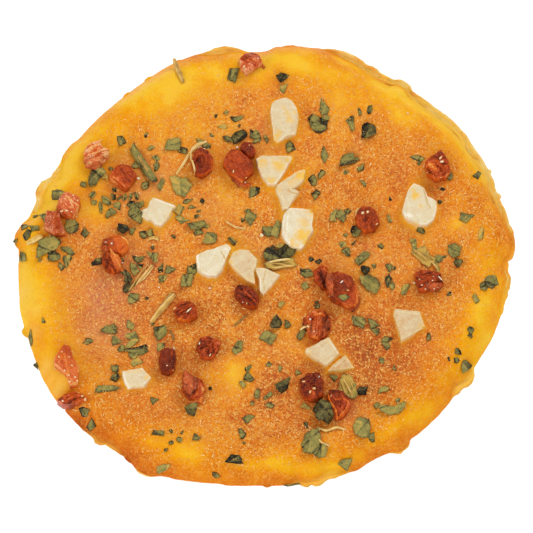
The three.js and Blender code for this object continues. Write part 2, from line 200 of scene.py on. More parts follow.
def rows_of(text):
    """Rows parted by semicolons: a row is some single numbers, then after each bar a set of lists."""
    parts = [row.split("|") for row in text.split(";")]
    return [(*groups(head)[0], *map(groups, lists)) for head, *lists in parts]


# %% Bells, turns and shares


def unit(value):
    """The value, held between 0 and 1."""
    return np.clip(value, 0, 1)


def bell(away, half):
    """exp(-(away / half) ** 2): 1 in the middle, 0.37 at the half width and soon 0 beyond it."""
    return np.exp(-((away / half) ** 2))


def turned(x, y, angle):
    """Points turned anticlockwise about the middle: x cos - y sin, and x sin + y cos."""
    c, s = np.cos(angle), np.sin(angle)
    return x * c - y * s, x * s + y * c


# %% Sizes of the crust
# All in mm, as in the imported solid
DISC_WIDE, DISC_DEEP = 114.6, 105.6
MIDDLE_THICK = 7.0
EDGE_TOP = 2.9  # height of the edge, above the undercut side
ROLL_RISE, ROLL_IN, ROLL_HALF = 1.3, 6.2, 4.6  # the roll above the middle, its way in, its half width
ROLL_CLIMB, CLIMB_POWER = 5.4, 2.4  # width of the climb from the edge, and how soon it rises
SWAY = 0.22  # slow waves of the whole disc

# Each row: degrees from +X, half width in degrees, mm
BULGES = groups("192,34,.5 113,17,.35 345,15,.3 48,20,-.35 237,14,-.3 310,9,.3")
LOBES = groups("""
144,27,-3 227,24,2.2 331,27,-2 92,4,-1.4 71,6,1 160,2.2,1.2 175,4,.7 241,3,.9 265,4,-.6 282,3,1 299,4,-.7
306,2.4,.9 330,2.4,1.1 0,2,-.9 6,3,.6
""")
LEDGES = groups("34,25,2.2 64,9,1.3 100,6,1 160,8,1.6 229,5,.9 284,7,1.2 329,5,1.4 356,8,1")
# Each row: column and row of the photograph, radius and rise in mm
PUFFS = groups("""
27,290,7,.5 40,318,6,.5 58,378,7,.6 130,90,9,.4 175,88,9,.6 300,70,7,.5 345,100,8,.5 400,84,3,.7
440,126,7,.5 450,225,4,.8 478,318,6,.8 425,416,6,.6 282,460,5,.7 175,446,8,.6 240,374,5,.7 120,300,11,-.6
330,250,12,-.4
""")

# %% The crust's edge and height
# Fine trim of the edge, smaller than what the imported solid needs, in the same kind of rows
EDGE_TRIM = groups("""
98,38,.75 80,4,.5 132,10,.2 171,2.5,.9 182,7,-.8 213,22,-.45 232,5,-.7 282,24,-.5 331,9,-.6 18,3,-.5
54,2.2,1 37,5,.4 148,3,.6 177,2,-.6 228,1.2,.7 264,4,.7 216,1,-.7 157.5,1,.5
""")


def swell(angle, rows):
    """Sum over the rows of mm * exp(-(turn / half width) ** 4), the turn counted from the row's place."""
    at, wide, out = np.array(rows).T
    turn = (np.degrees(angle)[..., None] - at + 180) % 360 - 180
    return (out * np.exp(-((turn / wide) ** 4))).sum(axis=-1)


def edge_radius(angle):
    """An oval about the middle, plus the lobes and the trim."""
    oval = 1 / np.hypot(2 * np.cos(angle) / DISC_WIDE, 2 * np.sin(angle) / DISC_DEEP)
    return oval + swell(angle, LOBES) + swell(angle, EDGE_TRIM)


def inward_of(x, y):
    """How far a point lies in from the edge, along the line to the middle."""
    return edge_radius(np.arctan2(y, x)) - np.hypot(x, y)


def top_height(x, y):
    """Edge height, plus the rest of the way to roll, puffs and sway, times a climb from the lip's foot."""
    angle = np.arctan2(y, x)
    inward = inward_of(x, y) - swell(angle, LEDGES)
    climb = unit(inward / ROLL_CLIMB)
    roll = ROLL_RISE + swell(angle, BULGES)
    full = MIDDLE_THICK + roll * bell(inward - ROLL_IN, ROLL_HALF)
    for across, down, radius, rise in PUFFS:
        px, py = place(across, down, MIDDLE_THICK)
        full = full + rise * bell(np.hypot(x - px, y - py), radius)
    full = full + SWAY * np.sin(x / 7.3 + 0.8) * np.sin(y / 6.1 - 0.4)
    full = full + SWAY / 2 * np.sin(x / 3.4 + y / 4.7)
    return EDGE_TOP + (full - EDGE_TOP) * (1 - (1 - climb) ** CLIMB_POWER)


# %% [markdown]
# ## Where the toppings lie
# Chips and dices are given by the corners of their outlines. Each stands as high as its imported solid.
# A form is the middle, the ground under it, how far it stands up, the outline's radius all round, and
# the rule for how its top rises from there.

# %% Corners of the chips
# How far the top stands up in mm and how clear the chip is from 0 (amber) to 1 (ivory); the corners of
# the outline, anticlockwise from above; its yellow stains: column, row, radius in pixels, strength
CHIPS = rows_of("""
3,.6|274,101.6 271.6,104.5 270.3,113.6 273,128 274,139 278,142.4 286,138 295.6,134.4 297.5,126.4
298.5,116.8 296.4,108 291.6,100.8 285.2,98.4|288,113,4,.5 277,134,4,.6 292,120,4,.4 296,112,3,.5;
2.6,.6|256.2,159.6 257.8,168.4 262.6,178.8 268.2,186 276.2,186 283.4,174.8 291.9,158.8 291.4,155.9
277.8,156.9 261.8,156.4|279,164,7,.6 262,163,5,.6 271,180,5,.5 288,159,4,.5;
2.7,.56|297.4,172.8 286.2,180 276.6,187.2 275.8,191.2 279.8,201.6 282.2,210.4 287.8,210.4 292.6,202.4
299,192.8 293.6,190.4 297.5,188 304.1,181.6 305.4,170.4|301,176,6,.85 293,184,5,.4 279,190,3,.4
287,205,3,.2;
3.2,.78|289.2,209.2 283.6,215.6 282,225.2 282,236.4 286.8,244.4 293.2,249.2 300.4,250 303.6,247.6
310,236.4 313.2,231.6 311.6,226 313.2,214 311.6,210|303,235,7,1 304,222,6,.6 307,242,5,.9 295,243,6,.6;
2.4,.7|153.2,198.4 150,202.4 147.6,208.8 140.6,212 141.2,216.8 147.6,221.2 151.6,221.4 154.8,225.4
161.2,227.2 171.6,215.2 171.4,211 175.4,208.6 174.8,206.4|174,208,2.5,.5;
3,.75|226.6,245.2 214.6,250 205,252.4 196.2,257.2 197.8,272.4 208.2,278.3 216.2,278 221.8,272.4
226.6,258.8 230.9,249.2|203,270,2.5,.2 228,249,3,.2 213,277,3,.3;
2.8,.5|239.8,250.8 232.6,254 228.6,262.8 235,270.8 246.2,280.4 255,284.4 253.4,271.5 256.1,267.6
257.4,260.4 248.6,251.6|230,262,3,.5 250,253,3,.35 237,252,3,.3;
2.2,.6|256,268.5 255.6,271.5 259,279.4 259.8,291.4 263,295.1 271.8,285.8 280.1,275.4
265.4,269|278,276,2,.3;
3.2,.66|413.6,184.4 408,191.6 405.6,199.6 402.1,213.2 405.6,219.6 416.8,227.1 426.4,226.8 433.6,221.2
436.8,210.8 436.8,202.8 427.2,197.2 424,189.2|415,195,4,.75 421,206,4,.25 411,189,3,.4;
2.8,.42|394.4,310.2 393.3,315.8 398.4,333.4 400.8,342.2 408,338.2 424,327 419.2,312.9
404.8,311|396,312,3,.2 402,340,3,.3;
2.6,.5|315,345.6 306,349.4 305.1,352 307,355.2 321.4,364 325.4,366.4 339,354.4 328.6,337.6|308,352,4,.4
333,344,2.5,.3;
1.8,.3|333,364.2 327.4,371.4 341,370.6 353.5,367.4 345,355.4|346,358,2.5,.3;
2.2,.62|122.6,371.8 124.2,380.6 129,389.4 134.6,387.8 145,387 151.4,377.4 142.6,368.1
132.2,370.2|149,377,4,.5 130,371,3,.3 127,386,3,.3
""")

# %% Outlines of the chips
CHIP_SHOULDER, CHIP_CROWN, CHIP_SUNK = 0.4, 0.2, 1.5  # rounding, doming and depth in the dough, mm
OUTLINE_STEPS = 720  # rays that an outline is kept at


def form_of(corners, stands, rise):
    """Middle, ground, stand, the radius all round (where a ray meets a side), and the rise by share."""
    x, y = place(*np.array(corners).T, MIDDLE_THICK + stands / 2)
    middle = np.array([x.mean(), y.mean()])
    x, y = x - middle[0], y - middle[1]
    side_x, side_y = np.roll(x, -1) - x, np.roll(y, -1) - y
    angle = np.linspace(-pi, pi, OUTLINE_STEPS, endpoint=False)[:, None]
    c, s = np.cos(angle), np.sin(angle)
    cross = c * side_y - s * side_x
    reach, along = (x * side_y - y * side_x) / cross, (x * s - y * c) / cross
    hit = (reach > 0) & (along >= -1e-9) & (along <= 1 + 1e-9)
    return middle, float(top_height(*middle)), stands, np.where(hit, reach, 0).max(axis=1), rise


def outline_at(radii, angle):
    """The outline's radius at any angle, read between the steps of the table."""
    step = (np.asarray(angle) + pi) / (2 * pi) * OUTLINE_STEPS
    return np.interp(step % OUTLINE_STEPS, np.arange(OUTLINE_STEPS + 1), np.append(radii, radii[0]))


def chip_rise(share):
    """Height of a chip's top as a share of its stand: 1 nearly to the outline, where it drops to 0."""
    return 1 - share**12


chip_forms = [form_of(corners, stands, chip_rise) for stands, _, corners, _ in CHIPS]
print(len(chip_forms), "chips")

# %% Corners of the dices
# The smaller of the width and depth seen, in pixels; tone from 0 (dark red) to 1 (coral); amber from 0
# (red) to 1 (orange); the corners of the outline
DICES = rows_of("""
20,.66,.1|239,61 241,70 247,75 255.5,69.5 263,64.5 259,56 252,54 245,54.5;
25,.7,.42|84.8,151.5 84,160.7 87.3,166.5 99,168.2 102,161.5 107.3,159 109.3,153.2 102,148.2 99,143.2
89.8,145.3;
28,.45,.3|109.2,176.8 110.6,179.5 124.3,190.2 127,189.5 136,178 136.2,174.5 130.5,167.3 122,164.6
115,168.3;
24,.7,.25|66.8,195.3 60.2,200.8 56.8,210 62.7,219.2 73.5,220 80.7,207.5 79.3,200;
20,.47,.1|47.2,213 45.5,221.3 45.5,230.5 54.7,237.2 65.5,235.5 61.3,223.8 59.7,215.5;
21,.3,.05|193.5,154.5 191,163.7 195.2,174.5 202.7,177 211.8,169.5 212.7,159.5 208.5,152 200.2,148.7;
30,.42,.1|231.2,149.7 225.3,157.5 223.3,165 229.5,174.2 242,181.7 252.8,171.7 252.8,163.3 237.8,150;
14,.2,0|243.6,142.4 240.2,146.5 242,151 248.5,157.5 254.5,156 255.5,150 251,142.4;
20,.56,1|109.5,238 108.7,249.7 114,253 122,255 127.8,250.5 128.7,242.2 124.5,238 116.2,235.5;
20,.36,.4|103,254 102,261 106,269 114,273 121,270 122.5,262 119,255.5 110,253;
27,.42,.35|425,164.2 427.5,174.2 435,180.8 445,180 450.8,172.5 448.3,163.3 444.2,155.8 440.8,151.7
435,156.7 429.2,160.8;
25,.3,.2|360,207.7 355.8,216 357.5,226 365,231.8 374.2,229.3 379.2,221 375.8,211 370,206;
22,.32,.25|175,305.7 174.7,313.2 179.2,319.8 188.3,321.5 197.5,316.5 196.7,307.3 190.8,301.5 181.7,300.7;
20,.24,0|234.6,290.4 235.4,297.6 241.6,303.8 250.4,308.2 257,306.4 259.2,299 254.3,291.2 245.5,286.2
238,285.6;
24,.32,.1|196.8,347.7 201.2,356.5 209.5,358.3 214.6,355 219.8,347.1 220.3,341.4 208.3,336.2 200,338.2;
17,.16,.1|161,350.5 159.3,361.3 161.8,371.3 169.3,373.8 175.2,369.7 176.8,358 175.2,349.7 167.7,348;
25,.26,.15|183.5,374 182.7,389 189.3,398.5 200.2,398.5 205.2,387.3 202.7,379.8 192.7,376.5 186,372.5;
22,.6,.5|65.2,347.5 60.2,355 56,360.8 56,366.7 67.7,376.7 71,386.7 79,385.8 80.2,372.5 73.5,359.2 71,350;
18,.42,.3|58.5,399 64.5,403.4 72.7,403.8 81,402.6 89.5,399.4 87.7,394.8 76,392.5 66,394;
32,.32,.2|326.5,275 325.5,284 326.5,292 332.3,300.3 346.5,306 356,304.5 356.2,288.7 350.7,277 337.3,272;
16,.34,.1|313,270.9 314.3,278.6 321.6,288.6 325.4,288.3 327,279.4 327.4,267 319.7,265.8;
24,.5,.45|306,315.5 306.5,326.3 309.3,336 317.7,338.5 325.2,336.2 330.2,328 330.2,318 324.5,311.5
312.7,311.5;
21,.36,.2|415,274.2 415.3,281.7 418.7,291.5 435.3,290.2 443,284.2 440.3,275 432,271.7 421.2,271.2;
24,.2,.05|299.8,380 299.8,390 304.8,398.5 314,400 322.3,395 323,381.7 319,374 307.3,374;
24,.36,.12|328.5,390 328,399 331.2,409 335.3,419 344,415 350,406 349.5,398 342,391 335.3,389.5
""")

# %% Outlines of the dices
# A packed dice is this share of its seen size high, plus a least height; this share of it shows above
# the dough, and the finer dice goes on down in it
DICE_SHARE, DICE_LEAST, DICE_SHOWN, DICE_SUNK = 0.55, 2.2, 0.72, 1.5
DICE_WAIST, DICE_POWER = 0.35, 6.0  # share of the height where the rounding starts, and how boxy it is
DICE_LOW = 0.86  # a slab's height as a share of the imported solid's
DICE_SPREAD = 1.045  # how far its foot spreads beyond the outline read off the photograph


def dice_rise(share):
    """The same for a dice, which is a rounded block: straight to the waist, then a superellipse."""
    rounded = unit(1 - share**DICE_POWER) ** (1 / DICE_POWER)
    return DICE_LOW * (DICE_WAIST + (1 - DICE_WAIST) * rounded)


dice_forms = []
for seen, _, _, corners in DICES:
    stands = DICE_SHOWN * (DICE_LEAST + DICE_SHARE * seen * PIXEL)
    dice_forms.append(form_of(corners, stands, dice_rise))
print(len(dice_forms), "dices")

# %% How far from a topping


def share_of(form, x, y):
    """Distance from the topping's middle over its outline's radius that way: under 1 inside."""
    middle, radii = form[0], form[3]
    dx, dy = x - middle[0], y - middle[1]
    return np.hypot(dx, dy) / outline_at(radii, np.arctan2(dy, dx))


def gap_of(form, x, y):
    """Distance outside the outline, in mm, about: what the share is above 1, times the mean radius."""
    return np.maximum(share_of(form, x, y) - 1, 0) * form[3].mean()


CHIP_COLLAR, CHIP_COLLAR_REACH = 0.55, 0.55  # share of the chip's height, and mm
DICE_COLLAR, DICE_COLLAR_REACH = 0.5, 0.6  # mm


def topping_collar(x, y):
    """Dough that crept up the toppings: a rise that fades within a millimetre of each outline."""
    rise = np.zeros_like(x)
    for form in chip_forms:
        rise = np.maximum(rise, CHIP_COLLAR * form[2] * np.exp(-gap_of(form, x, y) / CHIP_COLLAR_REACH))
    for form in dice_forms:
        rise = np.maximum(rise, DICE_COLLAR * np.exp(-gap_of(form, x, y) / DICE_COLLAR_REACH))
    return rise


# %% What shows from above


def is_bare(x, y, margin):
    """Whether no topping is nearer than the margin, given as a share of the topping's outline."""
    return np.all([share_of(form, x, y) > margin for form in chip_forms + dice_forms], axis=0)


def cover_height(x, y, forms=None):
    """Height of whatever shows from above: the crust, and the tops of the given (or all) toppings."""
    height = top_height(x, y) + topping_collar(x, y)
    for form in chip_forms + dice_forms if forms is None else forms:
        share = share_of(form, x, y)
        top = form[1] + form[2] * form[4](share)
        height = np.where(share < 1, np.maximum(height, top), height)
    return height


def height_under(middle, x, y):
    """Cover height for a thing whose middle is given: toppings that don't carry its middle don't count."""
    carried = [form for form in chip_forms + dice_forms if share_of(form, *middle) < 0.85]
    return cover_height(x, y, carried)


# %% [markdown]
# ## Colours and the one node tool
# Colours are written as the eye reads them, in sRGB hex, and turned to the linear values that the
# renderer works in. One small function adds a node, sets it up and links it.

# %% Colours and nodes


def colour(code):
    """Linear RGBA of an sRGB hex code: below 0.04045 a straight part, above it a power of 2.4."""
    parts = [int(code[k : k + 2], 16) / 255 for k in (1, 3, 5)]
    return (*(v / 12.92 if v <= 0.04045 else ((v + 0.055) / 1.055) ** 2.4 for v in parts), 1.0)


def add_node(tree, kind, inputs=(), output=0, stops=(), **settings):
    """Adds a node and gives one of its outputs. Its inputs, named or in order, are linked or set."""
    made = tree.nodes.new("ShaderNode" + kind)
    for name, value in settings.items():
        setattr(made, name, value)
    for key, value in dict(inputs if isinstance(inputs, dict) else enumerate(inputs)).items():
        if isinstance(value, bpy.types.NodeSocket):
            tree.links.new(value, made.inputs[key])
        else:
            made.inputs[key].default_value = value
    for _ in stops[2:]:
        made.color_ramp.elements.new(1.0)
    for stop, (position, shade) in enumerate(stops):
        made.color_ramp.elements[stop].position = position
        made.color_ramp.elements[stop].color = colour(shade)
    return made.outputs[output] if len(made.outputs) else None


def new_material(name):
    """An empty material, and the one function that adds a node to it."""
    material = bpy.data.materials.new(name)
    material.use_nodes = True
    material.node_tree.nodes.clear()
    return material, partial(add_node, material.node_tree)


# %% [markdown]
# ## Finish of the crust: baked and dried meat dough
# Puffed dough is smooth, slightly glossy and golden yellow. Where it lay flat and fried in its own fat
# it is orange brown, and short pale fibres and grains show all over it. A number kept at each vertex
# says how toasted the place is, and a ramp turns it to a colour. Red stains lie round the dices.

# %% Crust material
TOAST_STOPS = [
    (0.0, "#F8C22C"), (0.15, "#F5AE0E"), (0.3, "#F09C08"), (0.45, "#E98B0E"),
    (0.6, "#DE7B14"), (0.75, "#CF6912"), (0.9, "#BA560E"), (1.0, "#A0480C"),
]
# Colours laid over the ramp: pale fibre, peeled spot, grey-red, red stain, and pale skin with painted
# highlights
LAYER_COLOURS = ("#F9BE5C", "#EFA450", "#C89C94", "#B4501C", "#F8C658")
# Noises of the dough: size in mm (finer would not show), detail, roughness and distortion
CLOUD, BLOTCH, GRAIN = (4.5, 2, 0.5, 0), (1.5, 3, 0.5, 0.8), (0.36, 2, 0.6, 0)
BREAKS, PEELED = (1.0, 1, 0.5, 0), (1.8, 2, 0.5, 0.5)
STROKE, STROKE_NARROW = 0.95, 2.2  # length of a pale stroke in mm, and how many times narrower it is
STROKE_TURNS = (0.3, 1.35, 2.4)  # the ways that strokes lie, in radians


def baked_dough():
    """Toast ramp, moved by clouds, blotches and grain, under pale crests, peeled spots, stain, and skin with
    painted highlights.
    """
    material, add = new_material("baked_meat_dough")
    coords = add("TexCoord", output="Object")
    names = ("toast", "coarse", "dusk", "stain", "skin")
    toast, coarse, dusk, stain, skin = (add("Attribute", output="Fac", attribute_name=name) for name in names)
    shown = add("MapRange", [toast, 0.12, 0.5, 0.3, 1.0])
    grainy = add("Math", [shown, coarse], operation="MULTIPLY")
    cloud, blotch, grain, breaks, peeled = (
        add("TexNoise", {
            "Vector": coords, "Scale": 1 / (size * MM),
            "Detail": detail, "Roughness": rough, "Distortion": bent,
        }, output="Fac")
        for size, detail, rough, bent in (CLOUD, BLOTCH, GRAIN, BREAKS, PEELED)
    )
    strokes = []
    for turn in STROKE_TURNS:
        across = add(
            "Mapping", {"Vector": coords, "Rotation": (0, 0, turn), "Scale": (1, 1 / STROKE_NARROW, 1)},
            vector_type="TEXTURE",
        )
        inputs = {"Vector": across, "Scale": 1 / (STROKE * MM), "Detail": 1.0, "Distortion": 0.5}
        strokes.append(add("TexNoise", inputs, output="Fac"))
    highest, lowest = (
        add("Math", [add("Math", strokes[:2], operation=how), strokes[2]], operation=how)
        for how in ("MAXIMUM", "MINIMUM")
    )
    crest = add("Math", [add("MapRange", [highest, 0.58, 0.68, 0.0, 0.85]), grainy], operation="MULTIPLY")
    broken = add("MapRange", [breaks, 0.4, 0.56, 0.35, 1.0])
    crest = add("Math", [crest, broken], operation="MULTIPLY")
    marks = add("Math", [grain, 1.3, -0.83], operation="MULTIPLY_ADD")
    marks = add("Math", [blotch, 0.36, marks], operation="MULTIPLY_ADD")
    marks = add("Math", [marks, add("MapRange", [lowest, 0.44, 0.32, -0.03, 0.14])], operation="ADD")
    marks = add("Math", [marks, grainy], operation="MULTIPLY")
    clouded = add("Math", [cloud, 0.5, -0.25], operation="MULTIPLY_ADD")
    level = add("Math", [toast, add("Math", [marks, clouded], operation="ADD")], operation="ADD")
    shade = add("ValToRGB", [level], output="Color", stops=TOAST_STOPS)
    spots = add("Math", [add("MapRange", [peeled, 0.65, 0.69, 0.0, 0.55]), grainy], operation="MULTIPLY")
    for share, code in zip((crest, spots, dusk, stain, skin), LAYER_COLOURS):
        shade = add("Mix", {0: share, 6: shade, 7: colour(code)}, output=2, data_type="RGBA")
    height = add("Math", [grain, crest], operation="ADD")
    shader = add("BsdfPrincipled", {
        "Base Color": shade, "Roughness": add("MapRange", [toast, 0.1, 0.6, 0.3, 0.55]),
        "Normal": add("Bump", {"Height": height, "Strength": 0.6, "Distance": 0.2 * MM}),
        "IOR": 1.45, "Specular IOR Level": 0.05,
        "Subsurface Weight": 0.1, "Subsurface Radius": (1.0, 0.5, 0.2), "Subsurface Scale": 0.8 * MM,
    })
    add("OutputMaterial", [shader])
    return material


crust_finish = baked_dough()

# %% [markdown]
# ## Where the dough is toasted
# The puffed roll stayed yellow, the side below it and the flat middle browned. On top of that come
# patches read off the photograph, each with a place, a radius and an amount. A painted picture
# could hold them too, but numbers kept at the vertices follow the form and need no picture.

# %% Marks of the toast
# How far in from the edge, mm, and the toast there
TOAST_INWARD = ([0, 1.5, 4, 8, 13, 20], [0.55, 0.45, 0.33, 0.38, 0.54, 0.58])
# Column, row, radius in pixels, and how much more toasted (less, where below 0)
TOAST_PATCHES = groups("""
32,300,30,-.3 58,378,20,-.28 66,170,26,-.24 45,200,14,-.1 112,118,26,-.1 165,86,30,-.3 215,74,24,-.2
300,72,26,-.12 345,98,26,-.2 400,112,26,-.1 456,223,11,-.4 425,248,20,-.1 480,318,26,-.1 428,412,22,-.15
275,462,22,-.15 180,446,26,-.05 236,376,20,-.25 100,215,20,-.2 100,150,20,-.15 205,125,50,-.2
220,398,26,-.1 300,145,50,-.06 225,195,30,-.15 95,425,42,.2 140,450,30,.08 238,372,16,-.22 375,355,60,.24
295,330,55,.2 130,300,50,.1 112,256,26,.12 335,52,16,.15 215,50,16,.15 505,235,22,.15 285,420,40,.22
60,235,20,.15 480,195,24,.22 400,155,34,.08 420,375,30,.12 130,415,30,.06 165,460,24,.04 92,205,18,-.22
70,340,16,-.08 44,350,18,-.18 260,74,16,-.2 300,52,18,-.12 256,50,18,-.25 104,172,14,-.1 60,212,15,-.35
100,252,16,-.12 285,332,34,-.22 220,372,16,-.1 300,405,18,-.1 224,452,14,.14 260,454,14,.1 456,172,14,.1
344,252,14,-.1 18,300,12,-.2 350,102,14,-.1 110,112,12,.12 85,145,12,.18 272,466,16,.12 300,474,14,.14
372,450,12,-.12 160,457,12,.1 475,345,14,.1 356,436,14,.12 420,176,16,-.12 498,252,12,-.12 240,452,18,.12
356,280,28,-.2 300,335,26,-.2 150,196,38,-.2 235,245,24,-.12 130,268,16,-.08 404,220,24,-.1 356,80,14,.22
200,72,14,.1 465,345,14,-.1 376,440,20,.1 240,474,18,.12
""")
# How toasted the side below the edge is: degrees from +X, half width, and more or less than usual
SIDE_TOAST = groups("230,22,.2 285,22,.06 3,14,.15 98,10,.1 66,9,.1 175,22,-.2 135,18,-.16")
SIDE_REACH = 3.0  # mm that the side's toast reaches in over the edge
GLAZE_PALE, GLAZE_REACH = 0.4, 0.9  # how pale the golden glaze round a chip is, and its reach in mm
# Bands along the roll that stayed yellow: half width in pixels, how much less toasted, and marks
GOLD_BANDS = rows_of("""
9,.2|25,283 24,262 30,240 43,205 52,185 67,160 77,147;
9,.2|21,295 24,330 33,362 44,385;
11,.12|85,140 97,122 113,107 133,95 153,87 178,78 217,66 235,60;
9,.2|262,62 285,58 305,68 330,73 352,77 375,84;
9,.4|392,86 412,93 432,106 452,122 472,147 487,171;
5,.26|338,54 352,60 366,68 382,78 398,90;
12,.12|395,110 415,116;
10,.1|478,246 484,262;
6,.22|503,276 505,300 499,320 490,335 478,352 466,374 461,388;
11,.25|484,300 482,330 474,345;
6,.24|446,395 432,404 418,413 403,422 388,431 372,439;
6.5,.26|360,452 340,460 318,464 295,465 270,463 250,463 233,459;
10,.18|190,453 170,444 154,440
""")
# Where the grain is coarser or finer than usual, in the same kind of rows as the toast
COARSE_USUAL = 0.78
COARSE_PATCHES = groups("""
215,318,45,.32 120,430,42,-.34 412,376,36,-.1 97,322,34,-.08 265,262,70,.2 425,345,50,-.1 210,108,42,.35
446,310,30,.25 255,420,30,.2 240,200,40,.2
""")
# Where the dough is greyer than usual, in the same kind of rows
DUSK_PATCHES = groups("""
150,184,30,.11 128,262,34,.1 104,332,24,.11 262,140,24,.07 262,255,22,.08 340,412,14,.14 212,212,22,.05
108,294,28,.14 362,265,26,.05 155,345,22,.05
""")
# Painted highlights on the puffs of the roll, in the same kind of rows
PUFF_HIGHLIGHTS = groups("""
27,289,8,.4 36,311,8,.4 33,329,8,.4 46,364,9,.45 59,384,9,.55 52,376,8,.4 43,177,7,.3 36,300,7,.25
46,390,6,.3
""")

# %% Toast, stain and skin over the crust


def near_marks(x, y, middle, marks, half, height):
    """A bell of the distance to a line through marks, seen from a middle: the least over its parts."""
    line_x, line_y = place(*np.array(marks).T, height)
    line = np.column_stack([line_x - middle[0], line_y - middle[1]])
    nearest = np.inf
    for (from_x, from_y), (along_x, along_y) in zip(line, np.diff(line, axis=0)):
        dx, dy = x - from_x, y - from_y
        part = unit((dx * along_x + dy * along_y) / (along_x**2 + along_y**2))
        nearest = np.minimum(nearest, np.hypot(dx - part * along_x, dy - part * along_y))
    return bell(nearest, half * PIXEL)


def patches_at(x, y, patches):
    """Sum over the patches of the amount times a bell of the distance over the radius."""
    total = np.zeros_like(x)
    for across, down, radius, amount in patches:
        px, py = place(across, down, MIDDLE_THICK + 1)
        total = total + amount * bell(np.hypot(x - px, y - py), radius * PIXEL)
    return total


def ledge_and_groove(x, y):
    """How far a ledge stands out, at most 1.2 mm, and a bell curve across the groove at its root."""
    ledge = np.clip(swell(np.arctan2(y, x), LEDGES), 0, 1.2)
    return ledge, bell(inward_of(x, y) - 1.1 * ledge - 0.3, 0.3)


def toast_at(x, y):
    """Toast by distance from the edge, plus patches and slow noise, less where chips are glazed in."""
    inward = inward_of(x, y)
    side = swell(np.arctan2(y, x), SIDE_TOAST) * np.exp(-np.maximum(inward, 0) / SIDE_REACH)
    toast = np.interp(inward, *TOAST_INWARD) + side + patches_at(x, y, TOAST_PATCHES)
    for form in chip_forms:
        toast = toast - GLAZE_PALE * np.exp(-gap_of(form, x, y) / GLAZE_REACH)
    ledge, groove = ledge_and_groove(x, y)
    toast = toast + ledge * (0.1 * groove - 0.4 * np.exp(-np.maximum(inward, 0) / 1.6))
    for half, less, marks in GOLD_BANDS:
        toast = toast - less * near_marks(x, y, (0, 0), marks, half, MIDDLE_THICK + 1)
    return toast + 0.1 * layered_noise(x, y, 4.0, 11)


# %% Coarse, dusty, stained and pale places


def coarse_at(x, y):
    """How coarse the grain of the dough is: smooth at the edge, as usual from some millimetres in."""
    return (COARSE_USUAL + patches_at(x, y, COARSE_PATCHES)) * unit(0.4 + inward_of(x, y) / 6)


def dusk_at(x, y):
    """Share of a grey-red in the dough's colour: none on the roll, a little on the flat middle, more in
    patches.
    """
    dusk = 0.05 * unit((inward_of(x, y) - 4) / 8) + patches_at(x, y, DUSK_PATCHES)
    return dusk * (1 + 0.6 * layered_noise(x, y, 3.5, 15))


def stain_at(x, y):
    """Red stain round each dice, fading over a millimetre or so and stronger round the dark ones."""
    stain = np.zeros_like(x)
    for form, row in zip(dice_forms, DICES):
        stain = np.maximum(stain, (0.75 - 0.45 * row[1]) * np.exp(-gap_of(form, x, y) / 0.9))
    return unit(stain * (1 + 0.5 * layered_noise(x, y, 1.2, 21)))


def skin_at(x, y):
    """Pale skin where a ledge stands out, from the edge in to the foot of the roll, and painted highlights on
    puffs.
    """
    ledge = swell(np.arctan2(y, x), LEDGES)
    skin = 0.8 * unit(ledge / 1.6) * unit(1.5 - inward_of(x, y) / np.maximum(ledge, 0.3))
    mottled = 1 + 0.4 * layered_noise(x, y, 1.6, 16)
    # Painted highlights on the puffs of the roll, mottled
    for row in PUFF_HIGHLIGHTS:
        skin = np.maximum(skin, patches_at(x, y, [row]) * mottled)
    return unit(skin)


# %% [markdown]
# ## The crust as one surface
# The top is a square grid bent into a disc, so its cells stay even from the middle to the rim. From its
# edge, rings run down the undercut side to the flat underside. Grain, small wrinkles and a raised
# collar where dough crept up each topping are added to the height as real relief. Bump alone could
# show them from above, but the rim is seen against the floor, where only real relief shows.

# %% Relief and edge of the crust
CRUST_RINGS = 130
CRUST_CROWDING = 1.25  # above 1, the cells grow smaller towards the rim
UNDERCUT_HEIGHT, UNDERCUT_INSET = [0, 0.8, 2.0, EDGE_TOP], [2.2, 0.8, 0.1, 0]
SIDE_LEVELS = [2.6, 2.3, 2.0, 1.6, 1.2, 0.8, 0.45, 0.2, 0.0]
UNDERSIDE_SHARES = [0.94, 0.9, 0.85, 0.8, 0.74, 0.68, 0.61, 0.54, 0.46, 0.38, 0.3, 0.21, 0.12, 0.05]
# Small spikes and nicks of the edge: degrees from +X, half width, mm
SPIKES = groups("""
24,.5,.5 17.6,.7,.5 270.7,.8,.3 174.2,1,.4 9,1,.3 1.5,.5,-.4 196,1,.9 236,1,.3 281.5,.6,-.4 326,1.2,.3
127.3,.9,.35 120.6,.9,.35 112,1,.3 62,1.4,.3 84,1.5,.3 101,2,.3 349,.8,.2 354,.6,-.2
""")
RAGGED, RAGGED_PER_RADIAN = 0.07, 45  # mm of raggedness all along the edge, and how fine it is
# Size and rise of the crust's wrinkles, ridges and grain, in mm
WRINKLE, RIDGE, ROUGH = (5.0, 0.16), (2.2, 0.08), (0.9, 0.1)


def disc_knots(rings, crowding):
    """Angle and radius share of a square grid bent into a disc: each square ring becomes a circle."""
    j, i = np.mgrid[-rings : rings + 1, -rings : rings + 1].astype(float)
    ring = np.maximum(np.abs(i), np.abs(j))
    sideways = np.abs(i) >= np.abs(j)
    slope = np.where(sideways, j, -i) / np.where(sideways, np.where(i == 0, 1, i), np.where(j == 0, 1, j))
    start = np.where(sideways, np.where(i > 0, 0, pi), np.where(j > 0, pi / 2, -pi / 2))
    return start + pi / 4 * slope, 1 - (1 - ring / rings) ** crowding


